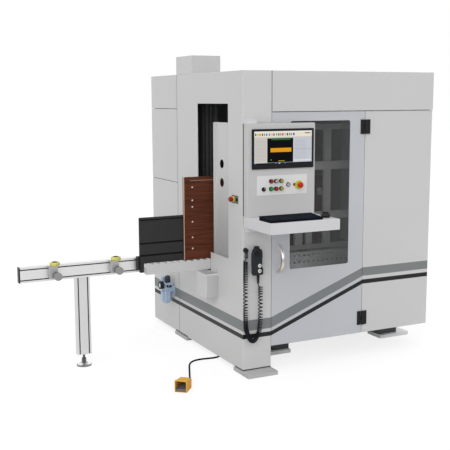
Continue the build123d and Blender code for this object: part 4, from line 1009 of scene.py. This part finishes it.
def turned(base, axis, steps, sides=32, bored=False):
    """A turned piece: a disc that is extruded and scaled step by step, each a height and a radius."""
    bpy.ops.object.select_all(action="DESELECT")
    height, radius = steps[0]
    bpy.ops.mesh.primitive_circle_add(vertices=sides, radius=radius * mm, fill_type="NGON",
                                      location=(0, 0, height * mm))
    piece = settle(bpy.context.object)
    edit(piece)
    for next_height, next_radius in steps[1:]:
        share = next_radius / radius
        grow(up * (next_height - height), (share, share, 1.0), up * next_height)
        height, radius = next_height, next_radius
    if bored:
        bpy.ops.mesh.select_all(action="DESELECT")
        mesh = bmesh.from_edit_mesh(piece.data)
        for face in mesh.faces:
            face.select_set(len(face.verts) == sides)
        bmesh.update_edit_mesh(piece.data)
        bpy.ops.mesh.delete(type="ONLY_FACE")
        bpy.ops.mesh.select_mode(type="EDGE")
        bpy.ops.mesh.select_all(action="DESELECT")
        bpy.ops.mesh.select_non_manifold()
        bpy.ops.mesh.bridge_edge_loops()
    close_up()
    piece.rotation_mode = "QUATERNION"
    piece.rotation_quaternion = axis.to_track_quat("Z", "Y")
    piece.location = Vector(base) * mm
    return settle(piece)


def turn_out(name, base, axis, steps, finish, slot=None, body="machine", replaced=None, sides=32, bored=False):
    """Turn a piece and keep it."""
    keep(turned(base, axis, steps, sides, bored), name, finish, body, replaced)


print("pieces can be turned")

# %% Push buttons
plate_face = -66
bezel_steps = ((0, 13.1), (13.8, 13.1), (15, 12.4), (15, 10.9), (14.2, 10.9))
cap_steps = ((0, 10.3), (26.6, 10.3), (27.9, 9.7), (28.5, 8.2))
cap_finishes = ("cap_red", "cap_white", "cap_yellow", "green_plastic", "cap_red", "cap_yellow")


def on_plate(node, depth=0):
    """The middle of a console piece, on the plate or at some depth behind its face."""
    spot = middle_of(node)
    return (spot.x, plate_face + depth, spot.z)


for number, finish in enumerate(cap_finishes, 1):
    node = f"push_button_{number}"
    turn_out(f"button_bezel_{number}", on_plate(node), to_front, bezel_steps, "black_plastic", body="console",
             bored=True)
    turn_out(f"button_cap_{number}", on_plate(node, 12), to_front, cap_steps, finish, record_slot[node], node,
             node)

# %% Rounding
def soften(piece, width, segments=2):
    """Round the sharp edges with a bevel, and apply it."""
    take(piece)
    bevel = piece.modifiers.new("soften", "BEVEL")
    bevel.width = width * mm
    bevel.segments = segments
    bevel.limit_method = "ANGLE"
    bevel.angle_limit = math.radians(40)
    bpy.ops.object.modifier_apply(modifier=bevel.name)
    return piece


print("edges can be rounded")

# %% Key switch, selector and emergency stop
rotary_steps = ((0, 13.8), (5.8, 13.8), (7.2, 13), (7.2, 11.5), (4.2, 11.5))
collar_steps = ((0, 27.4), (6.5, 27.4), (8.5, 26.4), (8.5, 12), (8.1, 12))
mushroom_steps = ((0, 11), (32, 11), (32, 17.2), (33, 18), (39, 18), (45, 16.3), (49.4, 12.2), (51.4, 7),
                  (52, 3))
lens_steps = ((0, 9.6), (1.6, 9.6), (2.4, 8.8), (2.4, 7.9), (5, 7.2), (6.2, 4.4))
for node in ("key_switch", "selector"):
    turn_out(f"{node}_bezel", on_plate(node), to_front, rotary_steps, "black_plastic", body="console",
             bored=True)
spot = middle_of("selector")
pointer = block((spot.x - 1, -81.5, spot.z + 1), (spot.x + 1, -80.9, spot.z + 8))
keep(soften(pointer, 0.25, 1), "selector_pointer", "white_plastic", body="selector")
turn_out("console_stop_collar", on_plate("console_stop"), to_front, collar_steps, "lime_plastic",
         "yellow_plastic", "console", sides=48, bored=True)
turn_out("console_stop_mushroom", on_plate("console_stop", 10), to_front, mushroom_steps, "red_plastic",
         body="console_stop", replaced="console_stop", sides=48)
lens_spot = (337, plate_face, middle_of("console_stop").z + 3)
turn_out("fault_lens", lens_spot, to_front, lens_steps, "deep_red_plastic", "red_plastic", "console")

# %% [markdown]
# A grey strip on the column's front, in the gap behind the console, is a dark piece put there for the shade in
# that gap. A strip of the same grey fills the upright joint between the column and the fascia.

# %% Console gap shade and fascia strip
# painted shade: this grey strip in the gap behind the console stands for the shade there
gap_shade_strip = block((0.3, -0.9, 1042), (7.4, 0, 1622))
keep(soften(gap_shade_strip, 0.35, 1), "console_gap_shade", "plate_grey")
low, high = corners("fascia")
strip = block((low.x - 2.8, 0.8, low.z + 2), (low.x - 0.2, 3.8, high.z - 2))
keep(soften(strip, 0.4, 1), "fascia_strip", "plate_grey")

# %% [markdown]
# ## Keyboard and mouse
# A key is a small box whose top is scaled in, so that its sides slope. One key is copied over six rows that
# climb with the slope of the keyboard, each copy with its own mesh, and the copies are joined. The mouse is
# a stack of level sections that swell and close again, with a bevel all round and a ribbed wheel in its nose.

# %% Slopes and copies
def taper(piece, axis, shares, centre):
    """Scale the face that looks along an axis about a centre."""
    pick(piece, axis)
    bpy.ops.transform.resize(value=shares, center_override=Vector(centre) * mm)
    leave()
    return piece


def spread(piece, shifts):
    """Copies of a piece, each with its own mesh, moved by each shift and joined into one."""
    copies = []
    for shift in shifts:
        copy = piece.copy()
        copy.data = piece.data.copy()
        copy.location = Vector(shift) * mm
        scene.collection.objects.link(copy)
        copies.append(copy)
    bpy.data.objects.remove(piece)
    take(copies[0])
    for copy in copies:
        copy.select_set(True)
    bpy.ops.object.join()
    return settle(copies[0])


print("sides can slope, and pieces can be copied")

# %% Keys
board_front, board_back = corners("keyboard")
key_pitch = 18.7
row_pitch = 20
key_rows = 6
top_row_gap = 6
key_width = 16
key_depth = 16.2
key_height = 5.4
key_sunk = 1.6
front_height = 12
key_slope = (board_back.z - board_front.z - front_height) / (board_back.y - board_front.y)


def key_cap(width):
    cap = block((0, 0, 0), (width, key_depth, key_height))
    return taper(cap, up, ((width - 4) / width, 0.76, 1), (width / 2, 8.8, key_height))


def key_place(column_x, row):
    row_y = 8 + row * row_pitch + (top_row_gap if row == key_rows - 1 else 0)
    rise = board_front.z + front_height + key_slope * (row_y + key_depth / 2) - key_sunk
    return (board_front.x + column_x, board_front.y + row_y, rise)


main_columns = [6 + key_pitch * column for column in range(14)]
side_columns = [274 + key_pitch * column for column in range(5)]
space_columns = main_columns[4:9]
key_places = [key_place(column_x, row) for row in range(key_rows) for column_x in main_columns + side_columns
              if row > 0 or column_x not in space_columns]
keys = spread(key_cap(key_width), key_places)
keep(keys, "keyboard_keys", "key_plastic", "console")
space_bar = spread(key_cap(4 * key_pitch + key_width), [key_place(space_columns[0], 0)])
keep(soften(space_bar, 0.8), "space_bar", "key_plastic", "console")

# %% Level sections
def stacked(sections):
    """A body of level rectangles: each section is a height, two limits in X and two in Y."""
    rectangles = [(Vector((x_low + x_high, y_low + y_high, 2 * height)) / 2, x_high - x_low, y_high - y_low)
                  for height, x_low, x_high, y_low, y_high in sections]
    middle, width, depth = rectangles[0]
    bpy.ops.object.select_all(action="DESELECT")
    bpy.ops.mesh.primitive_plane_add(size=1.0, location=middle * mm)
    piece = bpy.context.object
    piece.scale = (width * mm, depth * mm, 1.0)
    edit(settle(piece))
    for next_middle, next_width, next_depth in rectangles[1:]:
        grow(next_middle - middle, (next_width / width, next_depth / depth, 1.0), next_middle)
        middle, width, depth = next_middle, next_width, next_depth
    close_up()
    return piece


def flute(piece, axis, border, shares, centre):
    """Inset each face round an axis, and draw the insets in towards a centre."""
    pick(piece, axis, -0.2, 0.2)
    bpy.ops.mesh.inset(thickness=border * mm, use_individual=True)
    bpy.ops.transform.resize(value=shares, center_override=Vector(centre) * mm)
    leave()
    return piece


def stand(piece, place, turn):
    """Turn a piece that was made round the origin, and stand it in its place."""
    piece.rotation_mode = "XYZ"
    piece.rotation_euler.z = turn
    piece.location = place * mm
    return settle(piece)


print("bodies can be stacked, fluted and turned")

# %% Mouse
low, high = corners("mouse")
mouse_base = Vector((low.x + high.x, low.y + high.y, 2 * low.z)) / 2
mouse_turn = math.radians(-26)
mouse_sections = (
    (0, -23, 23, -43, 43),
    (3, -27, 27, -47, 48),
    (14, -28, 28, -49, 49),
    (24, -25, 25, -44, 37),
    (31, -19, 19, -33, 19),
    (33.5, -12, 12, -19, 3),
)
wheel_middle = Vector((0, 25, 20))
wheel_steps = ((-3, 8), (-2.2, 9), (2.2, 9), (3, 8))
mouse = stand(soften(stacked(mouse_sections), 5, 3), mouse_base, mouse_turn)
keep(mouse, "mouse_shell", "gloss_black", "console", "mouse")
wheel = flute(turned(wheel_middle, to_right, wheel_steps, 24), to_right, 0.5, (1, 0.94, 0.94), wheel_middle)
keep(stand(wheel, mouse_base, mouse_turn), "mouse_wheel", "treadle_rubber", "console")

# %% [markdown]
# ## The handset
# The handset is a charcoal housing with a wide foot and a narrower waist, a dial on its shoulder, two white
# ringed buttons and a tab with two slots on top, by which it hangs. It is stacked from level sections, then
# its back is scaled in so that its sides slope, its edges are rounded, and the holes for the dial and the
# buttons are cut. A tapered relief with ridges holds the cord below.

# %% Cutting
def cut(piece, cutter):
    """Take one piece away from another."""
    take(piece)
    boolean = piece.modifiers.new("cut", "BOOLEAN")
    boolean.operation = "DIFFERENCE"
    boolean.solver = "EXACT"
    boolean.object = cutter
    bpy.ops.object.modifier_apply(modifier=boolean.name)
    bpy.data.objects.remove(cutter)
    return piece


print("holes can be cut")

# %% Handset housing
handset_sections = (
    (662, 48, 117, -46, -9),
    (668, 42, 123, -48, -8),
    (698, 42, 123, -48, -8),
    (716, 47.5, 116, -48, -8),
    (768, 47.5, 116, -48, -8),
    (777, 46, 119, -48, -8),
    (815, 47, 117, -48, -8),
    (829, 55, 110, -46, -10),
    (833, 59, 100, -40, -20),
    (848, 60.5, 98.5, -39, -21),
)
handset = taper(stacked(handset_sections), to_back, (0.62, 1, 1), (83, -8, 740))
soften(handset, 2.6, 3)
for node, depth, radius in (("pendant_button_1", -34, 9.6), ("pendant_button_2", -34, 9.6),
                            ("pendant_dial", -40, 6.5)):
    spot = middle_of(node)
    cut(handset, turned((spot.x, depth, spot.z), to_front, ((0, radius), (30, radius))))
for slot_x in (65, 84):
    cut(handset, block((slot_x, -60, 837), (slot_x + 9, 0, 842)))
keep(handset, "handset_housing", "charcoal_plastic", replaced="pendant_body")

# %% Handset rings, relief and holder
ring_steps = ((0, 12.4), (2.6, 12.4), (3.4, 11.6), (3.4, 9.7), (0.6, 9.7))
for number in (1, 2):
    spot = middle_of(f"pendant_button_{number}")
    turn_out(f"handset_ring_{number}", (spot.x, -47.6, spot.z), to_front, ring_steps, "white_plastic",
             bored=True)
relief_steps = [(0, 10), (6, 10)]
for ridge in range(8):
    outer = 9.6 - 0.3 * ridge
    waist = outer - 1.8
    height = 6 + 6.6 * ridge
    relief_steps += [(height + 0.8, waist), (height + 2.6, waist), (height + 3.2, outer), (height + 6.2, outer)]
relief_steps += [(60, 6.9), (62, 6.4)]
turn_out("handset_cord_relief", (101.5, -17, 664), -up, relief_steps, "black_plastic", sides=24)
holder = push(block((60.5, -8.6, 708.5), (101.5, 0, 801.5)), to_front, 4, -1.5)
keep(soften(holder, 0.8), "handset_holder", "black_plastic")

# %% [markdown]
# The other end of the cord goes up into an elbow gland on the column. Its nut is turned in steps, and three
# grey rings clip the cord to the elbow's neck.

# %% Cord gland
gland_spot = Vector((17.5, -13.5, 822))
nut_steps = ((0, 16.6), (5, 16.6), (6, 15.6), (6, 14.4), (13, 14.4), (16, 12.6), (22.5, 12), (24, 10))
clip_steps = ((0, 10.6), (0.8, 11.4), (4.2, 11.4), (5, 10.6), (5, 9.3), (0, 9.3))
turn_out("gland_nut", (gland_spot.x, 0, gland_spot.z), to_front, nut_steps, "black_plastic", sides=36)
clip = turned((gland_spot.x, gland_spot.y, 0), up, clip_steps, bored=True)
clips = spread(clip, [(0, 0, rise) for rise in (773, 783, 793)])
keep(clips, "cord_clips", "plate_grey")

# %% [markdown]
# ## Panel locks and louvres
# The sheet on the right lifts off for service, so it is held by quarter-turn locks: a low turned head with a
# slot cut across it. Warm air leaves by pressed louvres high on that side. A louvre is a bar whose outer face
# is scaled down towards its foot, which leaves a hood that sheds water.

# %% Panel locks and louvres
right_face = corners("enclosure_panels")[1].x
lock_steps = ((0, 11), (1.4, 11), (2.2, 10.2), (2.2, 8), (4, 7.4), (4.4, 6.6))
lock_head = cut(turned((0, 0, 0), to_right, lock_steps), block((2.8, -1.3, -9), (6, 1.3, 9)))
lock_spots = [(right_face, run, rise) for run in (60, 777, 1494) for rise in (300, 1090, 1880)]
keep(spread(lock_head, lock_spots), "side_panel_locks", "ground_steel")
louvre = taper(block((0, 0, 0), (9, 170, 16)), to_right, (1, 0.93, 0.30), (9, 85, 0))
louvre_spots = [(right_face - 0.4, run, 1480 + 30 * row) for run in (980, 1200) for row in range(9)]
keep(spread(soften(louvre, 1.2), louvre_spots), "side_louvres", "cabinet_paint")

# %% [markdown]
# ## Stop and start buttons on the wall
# Beside the slot a grey plate carries a second emergency stop with an amber collar, a green start button in a
# black ring, and a dark socket. They are turned like those on the console, with their axis to the left.

# %% Wall controls
wall_face = -2
amber_steps = ((0, 18.8), (6.6, 18.8), (8.4, 17.6), (8.4, 11), (3, 11))
wall_mushroom_steps = ((0, 8), (26, 8), (26, 17.2), (27, 18), (32, 18), (37, 16.3), (41, 11.5), (43, 4))
start_steps = ((0, 10.9), (4.6, 10.9), (5.6, 10.2), (5.6, 8.5), (3, 8.5))
socket_steps = ((0, 8.6), (3.8, 8.6), (4.6, 7.8), (4.6, 4.4), (3.4, 4))
spot = middle_of("wall_stop")
turn_out("wall_stop_collar", (wall_face, spot.y, spot.z), to_left, amber_steps, "amber_plastic",
         "yellow_plastic", sides=48, bored=True)
turn_out("wall_stop_mushroom", (6, spot.y, spot.z), to_left, wall_mushroom_steps, "deep_red_plastic",
         "red_plastic", "wall_stop", "wall_stop", 48)
spot = middle_of("wall_button")
turn_out("wall_button_ring", (wall_face, spot.y, spot.z), to_left, start_steps, "black_plastic", bored=True)
turn_out("wall_socket", (wall_face, 74, spot.z), to_left, socket_steps, "gloss_black", "black_plastic")

# %% [markdown]
# ## Air pressure regulator
# Compressed air holds the board. The regulator has a gauge with a white dial, a fluted knob on top, a second
# block behind it and two hose bushes. The dial's marks are painted by angle: the angle round the gauge's
# axis, taken in steps, gives the marks, and one narrow range of it gives the needle.

# %% Gauge
gauge_middle = Vector((-88, 1155, 379))
mark_count = 24
mark_share = 0.28
mark_end = 0.38
mark_reach = (0.0105, 0.0132)
needle_angle = (0.085, 0.115)
needle_reach = 0.0098
boss_radius = 0.0024
gauge_rim_steps = ((0, 29.4), (25, 29.4), (26.6, 28), (26.6, 16.4), (26.1, 15.6), (18, 15.6))
dial_steps = ((20, 15.4), (26.05, 15.4), (26.25, 14.8))

material, place, x, y, z = new_finish("gauge_dial")
run = y - gauge_middle.y * mm
rise = z - gauge_middle.z * mm
from_axis = reach(run, rise)
angle = run.sum("ARCTAN2", run, rise) / (2 * math.pi)
mark = ((angle * mark_count) % 1 < mark_share) * between(from_axis, *mark_reach) * (abs(angle) < mark_end)
needle = between(angle, *needle_angle) * (from_axis < needle_reach) + (from_axis < boss_radius)
shade = mix(mark + needle, grey(0.80), grey(0.02))
set_finish(material, shade, noise(place, 90) * 0.1 + 0.3, gloss=0.5)
turn_out("gauge_bezel", gauge_middle, to_left, gauge_rim_steps, "charcoal_plastic", "black_plastic", sides=48,
         bored=True)
turn_out("gauge_face", gauge_middle, to_left, dial_steps, "gauge_dial", "white_plastic", sides=48)

# %% Knob, rear block and hose bushes
knob_spot = middle_of("air_knob")
knob_base = 396.6
knob_steps = ((0, 17), (2, 21.2), (8, 22), (38, 21), (46, 19), (51, 14), (53.5, 6))
bush_steps = ((0, 8.6), (3, 8.6), (3, 7), (9, 7), (9.8, 6.4), (9.8, 4.2), (4, 4.2))
knob = turned((knob_spot.x, knob_spot.y, knob_base), up, knob_steps, 36)
flute(knob, up, 0.9, (0.955, 0.955, 1), knob_spot)
keep(knob, "air_knob_cap", "knob_plastic", "air_knob", "air_knob")
rear_block = push(block((-80, 1184, 352), (-46, 1214, 432)), up, 5, 6)
keep(soften(rear_block, 1.6), "air_rear_block", "air_paint")
turn_out("hose_bush_1", (-63, 1126, 373), to_front, bush_steps, "black_plastic", sides=18)
turn_out("hose_bush_2", (-38, 1126, 371), to_front, bush_steps, "black_plastic", sides=24)

# %% [markdown]
# ## Stops on the rail
# Each sliding stop has a clamping knob with a chrome rim and a yellow roller that is a little barrel shaped,
# with a dark disc in the recess on its top. The roller is turned as one ring round its axle.

# %% Stop rollers and knobs
roller_steps = ((0, 26.5), (0.9, 30), (4.5, 32.4), (11.7, 33), (19, 32.4), (22.6, 30), (23.4, 26.5),
                (23.4, 20.5), (22.2, 19.8), (22.2, 6.6), (0.2, 6.6))
hub_steps = ((0, 19.4), (0.5, 19.4), (0.9, 18.8), (0.9, 7.2), (0.2, 7.2))
rim_steps = ((0, 25.3), (1, 26.2), (7.6, 26.2), (8.7, 25.4), (8.7, 22.2), (2, 22.2))
ring = {"sides": 40, "bored": True}
for side in ("left", "right"):
    node = f"stop_roller_{side}"
    spot = middle_of(node)
    base = corners(node)[0].z
    turn_out(f"stop_tyre_{side}", (spot.x, spot.y, base), up, roller_steps, "roller_rubber", body=node,
             replaced=node, **ring)
    turn_out(f"stop_hub_{side}", (spot.x, spot.y, base + 22.3), up, hub_steps, "black_plastic", body=node,
             **ring)
    turn_out(f"stop_knob_rim_{side}", (spot.x + 5.5, 527, 655.5), to_front, rim_steps, "knob_steel", "chrome",
             f"stop_slide_{side}", **ring)

# %% [markdown]
# ## Drilled holes
# The holes in the board end in its pale core. Each shows the cone that the drill's point leaves, so a small
# disc is turned with a sunk middle and copied down the row.

# %% Hole cores
core_steps = ((0, 3.9), (9, 3.9), (9, 3.4), (8, 0.6))
core = turned((hole_x / mm, board_low.y / mm + 11, 0), to_front, core_steps, 24)
cores = spread(core, [(0, 0, height / mm) for height in hole_heights])
keep(cores, "board_hole_cores", "core_wood", "board_feed")

# %% [markdown]
# ## Foot pedal
# The pedal's hood has a thin rim over its mouth, ribs on its side and a low pad behind. It stands
# turned on the floor, so its trim is modelled square to the axes and then turned into place.

# %% Pedal trim
pedal_place = Vector((-459, -84, 0))
pedal_turn = math.radians(-40.6)
rim = soften(block((-38.8, -54.4, 0.4), (38.8, -47, 75)), 1.6, 3)
cut(rim, block((-34.6, -60, -4), (34.6, -40, 70.6)))
pad = soften(push(block((-35, 6, 54), (20, 51, 63)), up, 5, 2), 2.4, 3)
rib = soften(block((37.2, 0, 5), (39.8, 5, 56)), 0.9)
ribs = spread(rib, [(0, run, 0) for run in (-32, -10, 12, 34)])
for piece, name in ((rim, "pedal_rim"), (pad, "pedal_pad"), (ribs, "pedal_ribs")):
    keep(stand(piece, pedal_place, pedal_turn), name, "orange_plastic")

# %% [markdown]
# ## Floor and light
# The machine stands on a plain pale floor in a white room, under soft light. Camera, mirror and glass rays
# see a white world, and all other rays a softer one that only fills the shadows. The floor adds a white glow
# for those same rays, so that it meets the white background and still keeps the machine's shadow.
# Three suns with wide discs light the outside, and three small lamps the space behind the window.

# %% Floor
floor_half = 30.0


def seen_rays(tree):
    """One for the rays of the camera, of mirrors and of glass, and nought for all others."""
    rays = tree.nodes.new("ShaderNodeLightPath").outputs
    seen = Wire(rays["Is Camera Ray"]) + Wire(rays["Is Glossy Ray"]) + Wire(rays["Is Transmission Ray"])
    return seen.sum("MINIMUM", seen, 1.0)


bpy.ops.object.select_all(action="DESELECT")
bpy.ops.mesh.primitive_plane_add(size=2 * floor_half)
floor = bpy.context.object
floor.name = "studio_floor"
floor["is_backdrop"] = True
floor_white = bpy.data.materials.new("floor_white")
floor_white.use_nodes = True
seen = seen_rays(floor_white.node_tree)
glow = {"Emission Color": mix(seen, grey(0.0), grey(0.80)), "Emission Strength": 1.0}
set_finish(floor_white, mix(seen, grey(0.62), grey(0.24)), 0.9, gloss=0.0, **glow)
floor.data.materials.append(floor_white)

# %% Room light
ambient = 0.68
room = bpy.data.worlds.new("white_room")
room.use_nodes = True
scene.world = room
room_shader = room.node_tree.nodes["Background"]
room_shader.inputs["Color"].default_value = grey(1.0)
strength = seen_rays(room.node_tree) * (1.0 - ambient) + ambient
room.node_tree.links.new(strength.socket, room_shader.inputs["Strength"])


def add_lamp(name, kind, source, energy, place=(0.0, 0.0, 0.0)):
    """A lamp in its place, which shines from the direction of its source."""
    light = bpy.data.lights.new(name, kind)
    light.energy = energy
    lamp = bpy.data.objects.new(name, light)
    lamp.location = place
    lamp.rotation_euler = Vector(source).to_track_quat("Z", "Y").to_euler()
    scene.collection.objects.link(lamp)
    return light


add_lamp("window_light", "SUN", (-0.85, -1.0, 1.3), 0.92).angle = math.radians(60.0)
add_lamp("low_light", "SUN", (-0.85, -1.0, 0.05), 0.82).angle = math.radians(45.0)
add_lamp("fill_light", "SUN", (0.9, 0.7, 1.2), 0.5).angle = math.radians(80.0)
add_lamp("upper_bay_lamp", "AREA", (0.0, -1.0, 0.15), 0.8, (0.60, 0.08, 1.20)).size = 0.5
add_lamp("sill_lamp", "AREA", (-0.25, -0.35, 0.90), 0.45, (0.28, 0.14, 0.95)).size = 0.1
add_lamp("lower_bay_lamp", "AREA", (0.0, -0.5, -0.7), 0.4, (0.57, 0.11, 0.48)).size = 0.2
scene.view_settings.view_transform = "Standard"
print("room light", ambient)

# %% Visual box
low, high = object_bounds()
print("visual box", [round(v, 3) for v in low], [round(v, 3) for v in high])
